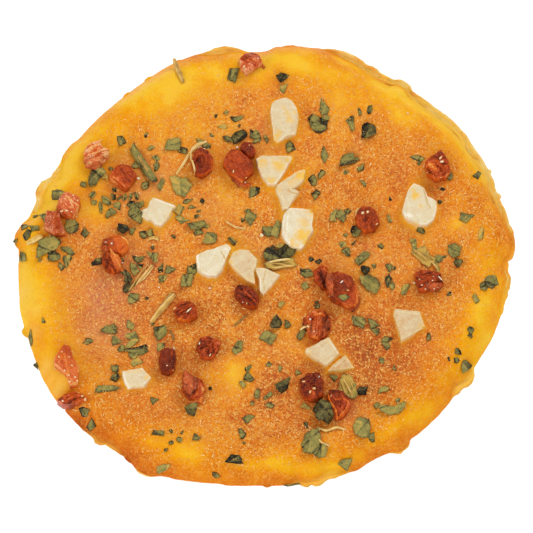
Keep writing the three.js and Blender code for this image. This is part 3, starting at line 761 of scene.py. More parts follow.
def crust_relief(x, y, toast):
    """Wrinkles everywhere, and grain where the dough is toasted, both fading out at the thin edge."""
    wrinkles = WRINKLE[1] * layered_noise(x, y, WRINKLE[0], 31, layers=2)
    ridges = RIDGE[1] * (1 - 2 * np.abs(layered_noise(x, y, RIDGE[0], 41, layers=2)))
    grain = ROUGH[1] * layered_noise(x, y, ROUGH[0], 51, layers=2)
    grainy = np.clip((toast - 0.2) / 0.4, 0.1, 1)
    inward = inward_of(x, y)
    ledge, groove = ledge_and_groove(x, y)
    folds = 0.12 * unit(inward / 0.4) * unit(2.8 - inward)
    folds = ledge * (folds * np.sin(5.0 * inward + 2.5 * soft_noise(x / 4, y / 4, 45)) - 0.16 * groove)
    return np.clip(inward / 2.0, 0.1, 1) * (wrinkles + grainy * (ridges + grain)) + folds


def fine_edge(angle):
    """The edge with its spikes and a slight raggedness, as what is added to the plain radius."""
    x, y = np.cos(angle) * RAGGED_PER_RADIAN, np.sin(angle) * RAGGED_PER_RADIAN
    return swell(angle, SPIKES) + RAGGED * layered_noise(x, y, 1.0, 61)


# %% Build the crust
angle, share = disc_knots(CRUST_RINGS, CRUST_CROWDING)
radius = edge_radius(angle) * share + fine_edge(angle) * share**12
crust_x, crust_y = radius * np.cos(angle), radius * np.sin(angle)
crust_toast = toast_at(crust_x, crust_y)
crust_z = top_height(crust_x, crust_y) + crust_relief(crust_x, crust_y, crust_toast)
crust_z = crust_z + topping_collar(crust_x, crust_y)
print("knots of the top:", angle.size)

# %% Side and underside
size = len(angle)
number = np.arange(size * size).reshape(size, size)
rim = np.concatenate([number[:-1, -1], number[-1, :0:-1], number[:0:-1, 0], number[0, :-1]])
top = np.stack([crust_x.ravel(), crust_y.ravel(), crust_z.ravel()], axis=1)
rim_angle = angle.ravel()[rim]
side_rings = []
for inset, height in zip(np.interp(SIDE_LEVELS, UNDERCUT_HEIGHT, UNDERCUT_INSET), SIDE_LEVELS):
    lap_x, lap_y = np.cos(rim_angle) * 30, np.sin(rim_angle) * 30 + height * 1.3
    bumpy = 0.12 * soft_noise(lap_x, lap_y, 71) * (height > 0)
    shrink = 1 - (inset + bumpy) / np.hypot(*top[rim, :2].T)
    side_rings.append(np.column_stack([top[rim, :2] * shrink[:, None], np.full(len(rim), height)]))
for part in UNDERSIDE_SHARES:
    x, y = (part * side_rings[len(SIDE_LEVELS) - 1][:, :2]).T
    pitted = 0.22 * unit(0.35 + layered_noise(x, y, 3.2, 75))
    side_rings.append(np.column_stack([x, y, pitted]))
side = np.array(side_rings)

# %% Join the crust
crust_vertices = np.vstack([top, side.reshape(-1, 3), [[0, 0, 0]]])
columns = len(rim)
levels = [rim] + [size * size + k * columns + np.arange(columns) for k in range(len(side))]
crust_faces = grid_faces(size, size).tolist()
for upper, lower in zip(levels, levels[1:]):
    crust_faces += np.stack([lower, np.roll(lower, -1), np.roll(upper, -1), upper], axis=1).tolist()
foot = np.full(columns, len(crust_vertices) - 1)
crust_faces += np.stack([foot, np.roll(levels[-1], -1), levels[-1]], axis=1).tolist()

# %% What is kept at each vertex of the crust
wall = np.tile(0.5 + swell(rim_angle, SIDE_TOAST), len(SIDE_LEVELS))
floor_side = side[len(SIDE_LEVELS) :].reshape(-1, 3)
browned = 0.66 + 0.2 * layered_noise(floor_side[:, 0], floor_side[:, 1], 6.0, 77)
below = np.concatenate([wall, browned, [0.6]])
crust_skin = skin_at(crust_x, crust_y).ravel()
side_skin = np.concatenate([np.tile(crust_skin[rim] * 0.7, len(SIDE_LEVELS)), np.zeros(len(floor_side) + 1)])


def over(top_values, low_values):
    """Values at the top's knots, then those below it, or one number for all of these."""
    return np.concatenate([top_values.ravel(), low_values + np.zeros(len(below))])


add_piece(
    "baked_crust", crust_vertices, crust_faces, crust_finish, "crust", ["crust"],
    toast=over(crust_toast, below),
    stain=over(stain_at(crust_x, crust_y), 0),
    skin=over(crust_skin, side_skin),
    coarse=over(coarse_at(crust_x, crust_y), COARSE_USUAL),
    dusk=over(dusk_at(crust_x, crust_y), 0),
)
print("crust:", len(crust_vertices), "vertices")

# %% [markdown]
# ## Pale flecks in the browned dough
# The browned middle is full of short pale fibres and grains, up to a millimetre long, that stand
# slightly out of it. They are one joined mesh: a low dome stamped a few thousand times, thickest where
# the dough is most toasted. Stamping whole arrays is quick, and each fleck stays a real shape.

# %% Stamp many small shapes
DOME_SIDES = 6
DOME_RINGS = [(1.0, -0.3), (0.78, 0.55)]  # radius and height of each ring of a unit dome


def unit_dome():
    """Rings of a dome with a rounded foot and crown, one unit in radius and height."""
    turn = np.linspace(0, 2 * pi, DOME_SIDES, endpoint=False)
    rings = [np.stack([r * np.cos(turn), r * np.sin(turn), np.full(DOME_SIDES, h)], 1) for r, h in DOME_RINGS]
    vertices, faces = closed_stack(np.array(rings))
    vertices[-2, 2], vertices[-1, 2] = -0.7, 1.0
    return vertices, faces


def stamp(template, faces, centre, scale, heading, roughness=0.0, seed=0):
    """Copies of a template, each scaled, turned about z, moved to its centre and slightly misshapen."""
    copies = template[None] * scale[:, None, :]
    if roughness:
        rng = np.random.default_rng(seed)
        copies = copies * (1 + roughness * rng.uniform(-1, 1, (len(centre), len(template), 1)))
    x, y = turned(copies[..., 0], copies[..., 1], heading[:, None])
    placed = np.dstack([x, y, copies[..., 2]]) + centre[:, None, :]
    offsets = np.arange(len(centre)) * len(template)
    return placed.reshape(-1, 3), [[k + v for v in face] for k in offsets.tolist() for face in faces]


# %% Finish of the flecks


def tinted(name, stops, pitch, swing, relief, finish, wash=None):
    """Colour from a ramp, read at each vertex's tone plus a fine noise, under a wash by the stain attribute.
    """
    material, add = new_material(name)
    coords = add("TexCoord", output="Object")
    inputs = {"Vector": coords, "Scale": 1 / (pitch * MM), "Detail": 3.0, "Roughness": 0.6}
    grain = add("TexNoise", inputs, output="Fac")
    shift = add("Math", [grain, swing, -swing / 2], operation="MULTIPLY_ADD")
    tone = add("Attribute", output="Fac", attribute_name="tone")
    level = add("Math", [tone, shift], operation="ADD")
    shade = add("ValToRGB", [level], output="Color", stops=stops)
    if wash:
        stain = add("Attribute", output="Fac", attribute_name="stain")
        shade = add("Mix", {0: stain, 6: shade, 7: colour(wash)}, output=2, data_type="RGBA")
    bump = add("Bump", {"Height": grain, "Strength": 0.5, "Distance": relief * MM})
    inputs = {"Base Color": shade, "Normal": bump, "IOR": 1.45, "Specular IOR Level": 0.3}
    add("OutputMaterial", [add("BsdfPrincipled", inputs | finish)])
    return material


# Dried meat fibre: matt, and paler than the dough because it stands out of it
fleck_finish = tinted(
    "pale_fibre_fleck", [(0.0, "#E9A044"), (0.5, "#F5B85A"), (1.0, "#FFD890")], 0.4, 0.3, 0.05,
    {"Roughness": 0.6},
)

# %% Strew the flecks
FLECK_TRIES = 13500  # places tried; those on toppings, on the roll or on pale dough drop out
rng = np.random.default_rng(7)
fleck_x, fleck_y = place(rng.uniform(12, 515, FLECK_TRIES), rng.uniform(44, 488, FLECK_TRIES), MIDDLE_THICK)
likely = np.clip((toast_at(fleck_x, fleck_y) - 0.1) / 0.35, 0.08, 1)
kept = (inward_of(fleck_x, fleck_y) > 3.0) & (rng.uniform(0, 1, FLECK_TRIES) < likely)
kept &= is_bare(fleck_x, fleck_y, 1.05)
fleck_x, fleck_y = fleck_x[kept], fleck_y[kept]
count = len(fleck_x)
fleck_size = np.column_stack([
    rng.uniform(0.16, 0.5, count), rng.uniform(0.08, 0.15, count), rng.uniform(0.08, 0.16, count)
])
ground = top_height(fleck_x, fleck_y) + crust_relief(fleck_x, fleck_y, toast_at(fleck_x, fleck_y))
centre = np.column_stack([fleck_x, fleck_y, ground + topping_collar(fleck_x, fleck_y)])
dome, dome_faces = unit_dome()
combed = 3 * soft_noise(fleck_x / 5, fleck_y / 5, 5) + rng.normal(0, 0.7, count)
vertices, faces = stamp(dome, dome_faces, centre, fleck_size, combed, 0.25, 3)
add_piece(
    "pale_flecks", vertices, faces, fleck_finish, "crust",
    tone=np.repeat(rng.uniform(0.1, 0.9, count), len(dome)),
)
print("flecks:", count)

# %% [markdown]
# ## Thin skin lips
# Here and there a film of dried dough stands out beyond the edge, pale and nearly see-through. Each is
# a flat loop carried along a stretch of the edge, wide in its middle and ragged outside. The crust's own
# edge could be pulled out, but a piece of its own can be thin and let light through.

# %% Skin lips
# Start and end in degrees from +X, reach beyond the edge in mm, height of its outer edge in mm
SKIN_LIPS = groups("""
8,58,.15,3.1 60,76,.3,3.5 96,106,.25,3.2 153,166,.3,3 223,233,.25,2.6 238,244,.3,2.4 278,292,.25,2.4
302,309,.3,2.4 324,333,.35,2.6 350,359,.2,2.8
""")
LIP_STEPS_PER_DEGREE, LIP_THICK, LIP_ROOT = 4, 0.22, 1.6  # mm thick, and rooted so far in from the edge

# Dried dough skin: a thin film with a satin shine, which lets some light through
skin_finish = tinted(
    "dried_dough_skin", [(0.0, "#E09A30"), (0.5, "#F4BC4C"), (1.0, "#FAD884")], 0.7, 0.6, 0.08,
    {"Roughness": 0.38, "Subsurface Weight": 0.3, "Subsurface Scale": 0.6 * MM},
)


def lip_rings(start, end, reach, height, seed):
    """A flat loop of ten points (root, top, tip, underside) at each step along a stretch of the edge."""
    steps = max(12, int((end - start) * LIP_STEPS_PER_DEGREE))
    angle = np.radians(np.linspace(start, end, steps))
    swing = np.sin(np.linspace(0, pi, steps)) ** 0.6
    ragged = 1 + 0.8 * layered_noise(angle * 50, angle * 0, 1.0, seed)
    tip = edge_radius(angle) + fine_edge(angle) + reach * swing * np.clip(ragged, 0.1, 2) - 0.3 * (1 - swing)
    root = edge_radius(angle) - LIP_ROOT
    share = np.array([0, 0.25, 0.5, 0.75, 1.0, 1.0, 0.75, 0.5, 0.25, 0])
    lift = np.array([0.5, 0.5, 0.5, 0.45, 0.2, -0.2, -0.45, -0.5, -0.5, -0.5]) * LIP_THICK
    wave = 0.2 * layered_noise(angle * 40, angle * 0 + 3, 1.5, seed + 9)
    radius = root[:, None] + (tip - root)[:, None] * share
    z = EDGE_TOP - 0.2 + (height + wave - EDGE_TOP + 0.2)[:, None] * share**2 + lift
    at = angle[:, None]
    return np.dstack([radius * np.cos(at), radius * np.sin(at), z])


def joined(parts):
    """Vertices and faces of several closed pieces as one mesh's, the faces counted on."""
    starts = np.cumsum([0] + [len(part[0]) for part in parts]).tolist()
    faces = [[start + v for v in face] for start, part in zip(starts, parts) for face in part[1]]
    return np.vstack([part[0] for part in parts]), faces


lips = [closed_stack(lip_rings(*row, seed)[:, ::-1]) for seed, row in enumerate(SKIN_LIPS, start=81)]
vertices, faces = joined(lips)
add_piece(
    "skin_lips", vertices, faces, skin_finish, "crust",
    tone=0.5 + 0.4 * soft_noise(vertices[:, 0] / 2, vertices[:, 1] / 2, 95),
)

# %% [markdown]
# ## Pale chips of dried root
# Diced root dries to hard, angular chips: flat cut faces, crisp edges, ivory where it is clear and amber
# where the spice stained it. Each one is a profile carried round its outline: up the side, over a small
# rounded shoulder and across a nearly flat top, which has fine fibres and slopes off at one or two sides.
# A bevelled block could do for one, but no two are alike, and a profile takes any outline.

# %% Marks of single chips
# Cracks, ridges and golden edges: number of the chip, half width in pixels, rise in mm, how much
# lighter it is painted (painted highlight on ridges, painted shade in cracks and steps), how golden,
# and marks
CHIP_LINES = rows_of("""
1,1.7,-.35,0,.85|297,103 299.4,112 298.6,122 297,132;
1,1.6,0,0,.75|289,117 288,121;
1,1.5,0,0,.7|278,130 281,132.5;
1,1.6,0,0,.4|283,106 287,112;
2,.8,.1,.3,0|292,156.5 284,172 274,185;
2,1.2,0,0,.5|272,158 277,166 279,171;
2,.7,-.05,-.12,0|265,160 268,172;
3,1.6,.1,.1,.6|304,172 297,177 289,183;
3,.6,-.25,-.2,.4|288,190 291,192.5 297,193.5;
3,.7,.05,.2,0|281,192 285,205;
4,1.6,0,0,.7|303,224 305,226;
4,2.6,0,0,.9|301,233 305,237;
4,.8,.1,.2,0|288,214 286,236;
5,.8,.15,.35,.1|155.8,199.4 165,203 175,207;
5,.7,.1,.3,0|140.8,217.6 147,219.8 151.8,222;
5,1.2,-.2,0,.8|170,215 172.5,211;
6,.6,-.3,-.25,.6|221,251.7 224,255.6 226,260.4;
6,1.8,.1,.25,0|225,248.5 229,250.5;
6,1,.1,.25,0|197,256 196.8,264;
7,.9,.15,.1,.55|239,252 231,256 229.6,263 236,270.6;
7,.9,0,.1,.7|254,271.4 256.6,266 257,260;
8,.8,.1,.3,0|257,271 260,280 260.6,291;
8,.6,-.2,-.16,.2|266,270.5 263,281 265,290;
9,.7,-.3,-.2,.25|423.6,188.5 426,197 427.4,203 430,208;
9,1.7,0,0,.8|414,190 414.6,199;
9,1.3,0,0,.6|419.5,205 421,206.5;
9,1.8,.1,.3,0|404.5,214 411,216.5;
9,1.8,-.35,0,.75|406,221 417,224.6;
10,.7,.1,.25,.2|396,311.5 405,312 418,314;
11,.7,.1,.3,.1|328,339 334,347 338.4,353.6;
11,.6,.05,.14,0|318,345 327,357;
12,.7,.1,.35,0|334,366 341,361.6 345,357;
13,1.4,.1,.3,0|123.5,374 126,380 129.6,386;
13,.9,0,.1,.6|133,371.5 142,369.6
""")

# %% Finish of a chip
CHIP_STOPS = [
    (0.0, "#C88434"), (0.2, "#D3A468"), (0.4, "#DCBC90"),
    (0.6, "#E3CFA6"), (0.8, "#E8DAB8"), (1.0, "#F8F0DC"),
]
# Dried root: hard and waxy, with a satin shine, and light sinks a little way into it
CHIP_LOOK = {
    "Roughness": 0.4, "Subsurface Weight": 0.2, "Subsurface Radius": (1.0, 0.75, 0.45),
    "Subsurface Scale": 0.6 * MM,
}
chip_finish = tinted("dried_root_chip", CHIP_STOPS, 0.28, 0.95, 0.15, CHIP_LOOK, wash="#F4C040")

# %% Block of a chip
CHIP_AROUND = 160  # points round a ring
CHIP_SIDE, CHIP_ROUND, CHIP_TOP = 8, 6, 26  # rings up the side, over the shoulder and across the top
CHIP_SLANT = 0.35  # mm that the foot stands out beyond the edge above it


def steps_of(radii, width, around, shoulder, top):
    """Angles all round, the evened-out outline there, turns over the shoulder, shares to the middle."""
    window = np.hanning(width) / np.hanning(width).sum()
    even = np.convolve(np.tile(radii, 3), window, "same")[OUTLINE_STEPS : 2 * OUTLINE_STEPS]
    angle = np.linspace(-pi, pi, around, endpoint=False)
    turn, part = np.linspace(0, pi / 2, shoulder + 1)[1:], np.linspace(1, 0, top + 1)[1:-1]
    return angle, outline_at(even, angle), turn, part


def chip_block(form, rng, seed):
    """Rings of a plain chip that slopes off at two sides, and how far in from its edge each point is."""
    _, _, stands, radii, _ = form
    angle, outline, turn, part = steps_of(radii, 13, CHIP_AROUND, CHIP_ROUND, CHIP_TOP)
    outline = outline + 0.1 * layered_noise(np.cos(angle) * outline, np.sin(angle) * outline, 0.55, seed)
    side = np.linspace(-CHIP_SUNK, stands - CHIP_SHOULDER, CHIP_SIDE)
    shoulder = CHIP_SHOULDER * (1 - np.cos(turn))
    slant = -CHIP_SLANT * unit(1 - side / side[-1])
    drawn_in = np.concatenate([slant, shoulder, np.full(len(part), CHIP_SHOULDER)])
    scaled = np.concatenate([0 * side + 1, 0 * turn + 1, part])
    over_edge = stands - CHIP_SHOULDER * (1 - np.sin(turn))
    raised = np.concatenate([side, over_edge, stands + CHIP_CROWN * (1 - part)])
    reach = (outline - drawn_in[:, None]) * scaled[:, None]
    x, y = reach * np.cos(angle), reach * np.sin(angle)
    z = np.broadcast_to(raised[:, None], x.shape)
    for _ in range(2):
        heading = rng.uniform(0, 2 * pi)
        start = rng.uniform(0.35, 0.7) * radii.mean()
        over = np.maximum(turned(x, y, -heading)[0] - start, 0)
        z = np.minimum(z, stands + CHIP_CROWN - rng.uniform(0.25, 0.6) * over)
    return x, y, z, outline - reach


# %% Surface of a chip


def chip_surface(form, row, lines, seed):
    """Rings of the chip from foot to crown, its tone with fibres and painted light, and its yellow stains."""
    middle, ground, stands, *_ = form
    rng = np.random.default_rng(seed)
    x, y, z, to_edge = chip_block(form, rng, seed)
    lean = rng.uniform(-0.05, 0.05, 2)
    grain = rng.uniform(0, pi)
    u, v = turned(x, y, -grain)
    fibres = layered_noise(u / 4 + seed, v, 0.5, seed + 40, layers=2)
    lumps = 0.12 * layered_noise(x + seed, y, 2.2, seed + 60, layers=2) + 0.03 * fibres
    z = z + (lumps + lean[0] * x + lean[1] * y) * (z > stands * 0.4)
    tone = row[1] + 0.1 * fibres + 0.1 * layered_noise(x + seed, y, 1.2, seed + 5)
    # Painted highlight: a broken light line just inside the top edge
    edge_highlight = unit(0.6 + 0.9 * soft_noise(x / 0.8 + seed, y / 0.8, seed + 8))
    tone = tone + 0.3 * edge_highlight * bell(to_edge - 0.22, 0.16) * (z > 0.5 * stands)
    # Painted light: the side and foot are made golden and lighter against the shade on them; part of the gold
    # is dough glaze that crept up
    stain = 0.9 * unit((stands - CHIP_SHOULDER / 2 - z) / (0.5 * stands))
    tone = tone + 0.2 * stain + 0.35 * unit(1 - to_edge / 0.15)
    stain = np.maximum(stain, (0.75 - 0.7 * row[1]) * np.exp(-to_edge / 0.25))
    for across, down, radius, strength in row[3]:
        px, py = place(across, down, MIDDLE_THICK + stands)
        patch = bell(np.hypot(x + middle[0] - px, y + middle[1] - py), 1.2 * radius * PIXEL)
        patch = patch * (1 + 0.8 * layered_noise(x, y, 0.8, seed + 7))
        stain = np.maximum(stain, np.clip(1.5 * strength * patch - 0.2, 0, 0.9))
    # Painted highlight on ridges and painted shade in cracks, where the lines lie
    for _, half, line_rise, painted_light, golden, marks in lines:
        weight = near_marks(x, y, middle, marks, half, ground + stands) * (z > 0.5 * stands)
        z, tone, stain = z + line_rise * weight, tone + painted_light * weight, np.maximum(stain, golden * weight)
    return np.dstack([x + middle[0], y + middle[1], z + ground]), tone, stain


def with_poles(values):
    """Values at the rings' vertices, then at the two poles that close the stack."""
    return np.concatenate([values.ravel(), [values[0].mean(), values[-1].mean()]])


# %% Build the chips
for i, (form, row) in enumerate(zip(chip_forms, CHIPS), start=1):
    lines = [line for line in CHIP_LINES if line[0] == i]
    rings, tone, stain = chip_surface(form, row, lines, 100 + i)
    vertices, faces = closed_stack(rings)
    add_piece(
        f"root_chip_{i:02d}", vertices, faces, chip_finish, "pale_chip", [f"pale_chip_{i:02d}"],
        tone=with_poles(tone), stain=with_poles(stain),
    )

# %% [markdown]
# ## Dices of dried red vegetable
# The dices shrank as they dried, so each is a low slab with sloping sides, a sharp rim and a wrinkled
# top. Light shows through them a little, red where they are thick and orange where thin. A slab is its
# own outline carried up a sloping side, over a tight shoulder and across the top. Facets read off the
# photograph cut the top, creases run along the grain, and crumbly ones are roughened. A crumpled cube
# would be quicker, but its folds would fall anywhere.

# %% Tops of the dices
# Grain in degrees, crease depth and roughness in mm, hollow in mm, then the facets: the way each faces
# in degrees, its start as a share of the mean radius, its slope, and how much lighter it is painted
# (painted light and shade by the way it faces)
DICE_TOPS = rows_of("""
150,.16,.06,0|105,.5,.8,-.22 -50,.45,.4,.06 190,.5,.3,.08;
30,.1,.22,0|-85,.25,.35,-.12 20,.6,.4,.14;
-45,.1,.03,0|222,.5,.5,.16 60,.05,.22,-.08;
120,.1,.08,0|-95,.45,.6,-.1 35,.2,.3,.1;
80,.06,.12,0|-100,.7,.3,.08;
70,.1,.03,.6|;
-40,.08,.05,0|-75,.72,.5,.1 30,.75,.6,-.15;
-50,.05,.04,0|-40,.5,.2,.06;
80,.04,.02,0|0,.3,.4,.06 200,.3,.5,-.2;
-60,.2,.22,0|200,.3,.4,-.12;
20,.2,.28,.3|60,.4,.3,-.06;
60,.1,.2,0|-60,.6,.4,.05;
35,.18,.08,.2|-80,.6,.4,.08;
-38,.16,.02,0|-130,.5,.4,-.05;
45,.22,.05,.3|0,.1,.3,.08 120,.2,.25,-.05 -100,.2,.3,.04;
90,.06,.04,0|-90,.5,.25,0 180,.5,.3,.05;
-70,.14,.05,0|10,.15,.4,.14;
-65,.04,.02,0|200,.5,.3,.05 -60,.7,.2,.08;
18,.24,.06,0|-80,.4,.3,-.08 0,.6,.3,.1;
-50,.1,.03,0|175,.5,.4,.07 -45,.75,.5,.1;
-60,.2,.05,0|-20,.3,.6,-.12;
78,.28,.04,0|-5,.3,.7,-.24 185,.45,.5,-.06;
20,.16,.22,0|-60,.55,.6,.08;
10,.14,.24,.2|120,.5,.3,-.04;
-60,.18,.1,.2|-10,.3,.3,.08 200,.3,.3,-.08
""")
# Creases and crests of single dices: number of the dice, half width in pixels, rise in mm (a groove
# where below 0), how much lighter it is painted there (painted highlight on a crest, painted shade in a
# groove), how much more amber it is there, and marks
DICE_LINES = rows_of("""
1,1.3,-.1,-.28,0|243.4,58.6 250.1,55.6 256.2,56.2;
1,.7,.15,.14,0|242,68 249,63 256,60;
2,.8,.3,.4,.3|87.6,161 95.5,158.6 107.1,154.3;
2,.7,.2,.35,.3|85.8,163.4 90,165.9 96.7,166.5 105.3,158.6;
2,.8,.2,.35,.2|87,150.6 91.9,145.8 98,145.1;
2,.7,.15,.3,.2|88.2,155.5 94.3,153 101,151;
2,.9,-.15,-.15,0|89.4,162.2 102.8,156.7;
3,.7,.15,.16,.3|110.6,178.1 123.1,189.1;
3,.7,.2,.16,.2|113.4,176.3 125.6,186.7;
3,.5,-.15,-.15,0|111.8,177 124.4,188;
3,.8,.1,.12,.1|116.4,169.6 121.3,166.5 129.2,167.1;
3,.8,-.15,-.14,0|121.3,168.4 126.2,178.7 134.1,183;
4,.7,.15,.28,.4|66.3,196.1 79.1,205.9 76.7,212 70.6,219.3 61.4,218.1;
4,.8,.1,.28,.2|70,200.4 75.4,210.2;
4,1.4,-.15,-.16,0|60.2,214.4 72.4,216.3;
5,.8,.1,.25,.6|57.6,236.1 64.3,234.9 63.7,229.4;
6,.8,.2,.16,.2|194.6,161.1 197.6,154.4 203.1,153.1 206.2,157.4 205.6,162.3;
6,1.8,-.3,-.16,0|197.6,158.6 200.1,164.7;
6,1.1,.15,.16,.2|209.2,153.1 212.3,161.1 211.7,168.4 206.2,172.7 201.3,175.1;
7,1,-.1,-.14,0|237.3,152.5 250.7,165.3;
7,.8,.05,.12,.1|224.5,165.9 230,154.3 236.1,151.9;
7,.7,.1,.25,.5|233.6,176.3 242.2,179.9 249.5,176.3;
9,.7,.2,.4,.2|122.2,236.6 127.7,239.6 128.5,244.5;
9,.7,-.2,-.2,0|121,249.4 128.3,243.3;
9,2.4,-.3,-.3,-.5|105.1,240 106.3,249.4;
11,2,.3,.35,.9|429.2,164.1 435.3,169;
11,1,-.3,-.28,0|427.4,167.1 430.4,173.2 435.3,174.4;
11,1,-.3,-.2,0|440.2,167.7 443.2,175;
13,.8,-.2,-.2,0|178,305.6 185.3,303.2 193.8,302;
13,.8,.1,.2,.6|179.2,317.8 187.7,320.3 195.7,319.7;
14,.9,.2,.24,.1|237,290.4 245.5,292.2 255.3,300.2;
14,.8,.15,.14,0|237.6,295.3 246.7,300.8 252.8,305;
14,.8,-.15,-.1,0|236.4,292.9 246.1,296.5 254.7,303.2;
15,.9,-.25,-.24,0|201,347.7 205.9,344.7 210.1,347.1 208.3,352;
15,1,.15,.18,.1|203.4,339.6 210.7,339 219,343.2;
15,.7,-.2,-.18,0|212,342.9 214.4,351.4;
16,1.2,-.05,-.1,0|174,352.2 174,366.8;
17,.8,.2,.18,.2|186.4,373.9 193.7,379.4 199.2,385.5 198,392.8 193.1,396.5;
17,.8,-.15,-.14,0|187,377 192.5,384.3 194.3,391.6;
17,2.2,-.1,.25,.3|202,382.5 204.5,390;
18,1,.15,.14,.2|65.1,353.1 67.5,361.6 69.3,371.4 73.6,379.9;
18,1,.1,.12,.2|63,356 60,362;
19,.6,.15,.22,.2|59.7,403.4 67.6,399.3 76.2,394.6;
19,.8,-.2,-.22,0|62.1,404.8 70.1,401.6 77.4,397.6;
19,.6,.1,.25,.3|65.2,396.4 73.1,393.6 79.2,394;
20,1,-.4,-.3,0|328.3,274 327.1,284.9 323.9,290;
20,.9,.2,.18,.1|330.6,275 330,285 329,291;
20,1,-.1,-.2,0|328.3,293 336.9,301.7 345.4,304.8;
21,1.4,-.3,-.22,0|320.3,273.3 325.2,286;
21,1.2,.1,.16,.2|315.5,270.5 320.5,268.5 325,270;
22,.5,-.2,-.16,0|316.3,316.6 315.1,333;
22,.5,-.2,-.14,0|318.7,316 318.1,334.3;
22,.5,-.2,-.14,0|321.2,316 320.6,331.8;
22,.8,.2,.3,.8|314.5,314.8 321.2,312.9 324.2,315.4;
22,.7,.1,.3,.8|310.8,335.5 315.1,337.9 320,337.3;
22,2,-.2,-.12,0|326.7,318.4 327.9,329.4;
22,1,-.3,-.28,0|312,318 310.8,331.8;
23,1.1,-.3,-.3,0|429.7,290 441.5,285.8;
23,.6,.2,.28,.3|429.1,287.8 441,283.6;
23,.6,.1,.14,.1|418.8,280.3 431,282.7;
24,1.6,.15,.32,.1|311,389 313.5,393;
25,.8,.5,.45,1|325.9,389 329.4,398.6 334.9,408.4 337.3,417.6;
25,.6,.25,.28,.8|334.9,398.6 342.2,398 348.4,399.9 345,408.4 338.5,416
""")

# %% Finish of the dices
FLESH_GRAIN, DUST_AND_HIGHLIGHT_FLECK, GRIT_AND_GLINT_POINT = 0.27, 0.3, 0.17  # sizes in mm, as fine as the render can show
DICE_STOPS = [
    (0.0, "#380A02"), (0.15, "#5C1A08"), (0.3, "#7E280C"), (0.45, "#A03710"),
    (0.6, "#BC481C"), (0.75, "#D66038"), (0.9, "#E8865A"), (1.0, "#F4BC8C"),
]
AMBER_STOPS = [(0.0, "#5A1E04"), (0.3, "#A8400E"), (0.55, "#D65C14"), (0.8, "#EA7C1E"), (1.0, "#F8B45A")]


def dried_vegetable():
    """Two ramps read at each vertex's tone, red and orange, mixed by amber, with pale dust, painted
    highlights and painted glints.
    """
    material, add = new_material("dried_red_vegetable")
    coords = add("TexCoord", output="Object")
    tone, amber, dusty = (
        add("Attribute", output="Fac", attribute_name=name) for name in ("tone", "amber", "dust")
    )
    inputs = {"Vector": coords, "Scale": 1 / (FLESH_GRAIN * MM), "Detail": 3, "Roughness": 0.65}
    grain = add("TexNoise", inputs | {"Distortion": 0.8}, output="Fac")
    dust, points = (
        add("TexNoise", {"Vector": coords, "Scale": 1 / (pitch * MM), "Detail": 1}, output="Fac")
        for pitch in (DUST_AND_HIGHLIGHT_FLECK, GRIT_AND_GLINT_POINT)
    )
    shift = add("Math", [grain, 0.7, -0.35], operation="MULTIPLY_ADD")
    level = add("Math", [tone, shift], operation="ADD")
    red, orange = (
        add("ValToRGB", [level], output="Color", stops=stops) for stops in (DICE_STOPS, AMBER_STOPS)
    )
    shade = add("Mix", {0: amber, 6: red, 7: orange}, output=2, data_type="RGBA")
    # Pale dust on crests, and painted highlights along the rims
    dust = add("Math", [add("MapRange", [dust, 0.48, 0.58, 0.1, 1.0]), dusty], operation="MULTIPLY")
    # Small pale points all over the dices: grit, and painted glints
    points = add("MapRange", [points, 0.62, 0.7, 0.0, 0.45])
    for share, code in ((dust, "#F6CC9C"), (points, "#F09468")):
        shade = add("Mix", {0: share, 6: shade, 7: colour(code)}, output=2, data_type="RGBA")
    shader = add("BsdfPrincipled", {
        "Base Color": shade, "Roughness": 0.25, "IOR": 1.45, "Specular IOR Level": 0.14,
        "Normal": add("Bump", {"Height": grain, "Strength": 0.8, "Distance": 0.15 * MM}),
        "Subsurface Weight": 0.15, "Subsurface Radius": (1.0, 0.3, 0.1), "Subsurface Scale": 0.6 * MM,
    })
    add("OutputMaterial", [shader])
    return material


# Dried pepper and tomato: leathery, with a soft shine, red where thick and orange where thin
dice_finish = dried_vegetable()

# %% Slab of a dice
DICE_AROUND = 150  # points round a ring
DICE_SIDE, DICE_ROUND, DICE_TOP = 7, 5, 28  # rings up the side, over the shoulder and across the top
DICE_FOOT, DICE_BROW, DICE_LIP = 1.0, 0.97, 0.92  # share of the outline at foot, brow and top's rim
BROW_HEIGHT = 0.74  # share of the height where the sloping side ends


def dice_slab(form, rough, seed):
    """Rings of a plain slab, none far below the crust, and their own height and share of the outline."""
    middle, ground, stands, radii, _ = form
    tall = DICE_LOW * stands
    angle, outline, turn, part = steps_of(radii, 5, DICE_AROUND, DICE_ROUND, DICE_TOP)
    ragged = layered_noise(np.cos(angle) * outline + seed, np.sin(angle) * outline, 0.8, seed)
    outline = DICE_SPREAD * outline + (0.1 + 0.6 * rough) * ragged
    climb = np.linspace(0, 1, DICE_SIDE)
    slope = DICE_FOOT + (DICE_BROW - DICE_FOOT) * climb
    shoulder = DICE_LIP + (DICE_BROW - DICE_LIP) * np.cos(turn)
    share = np.concatenate([slope, shoulder, DICE_LIP * part])[:, None]
    brow = BROW_HEIGHT * tall
    side, over_edge = -DICE_SUNK + (DICE_SUNK + brow) * climb, brow + (tall - brow) * np.sin(turn)
    rise = np.concatenate([side, over_edge, tall + 0.12 * (1 - part**2)])[:, None]
    x, y = share * outline * np.cos(angle), share * outline * np.sin(angle)
    lowest = top_height(x + middle[0], y + middle[1]) - 0.8 - ground
    return x, y, np.maximum(rise, lowest), rise, share


# %% Surface of a dice


def facet_cuts(x, y, mean, facets):
    """How far facets cut a top down: slope times the way beyond each start; and painted shade for each facet.
    """
    drop, tone = np.zeros_like(x), np.zeros_like(x)
    for heading, start, slope, painted_light in facets:
        beyond = turned(x, y, -radians(heading))[0] - start * mean
        drop = np.maximum(drop, slope * np.maximum(beyond, 0))
        # Painted light and shade by the way each facet faces
        tone = tone + painted_light * unit(beyond / 0.25 + 0.5)
    return drop, tone


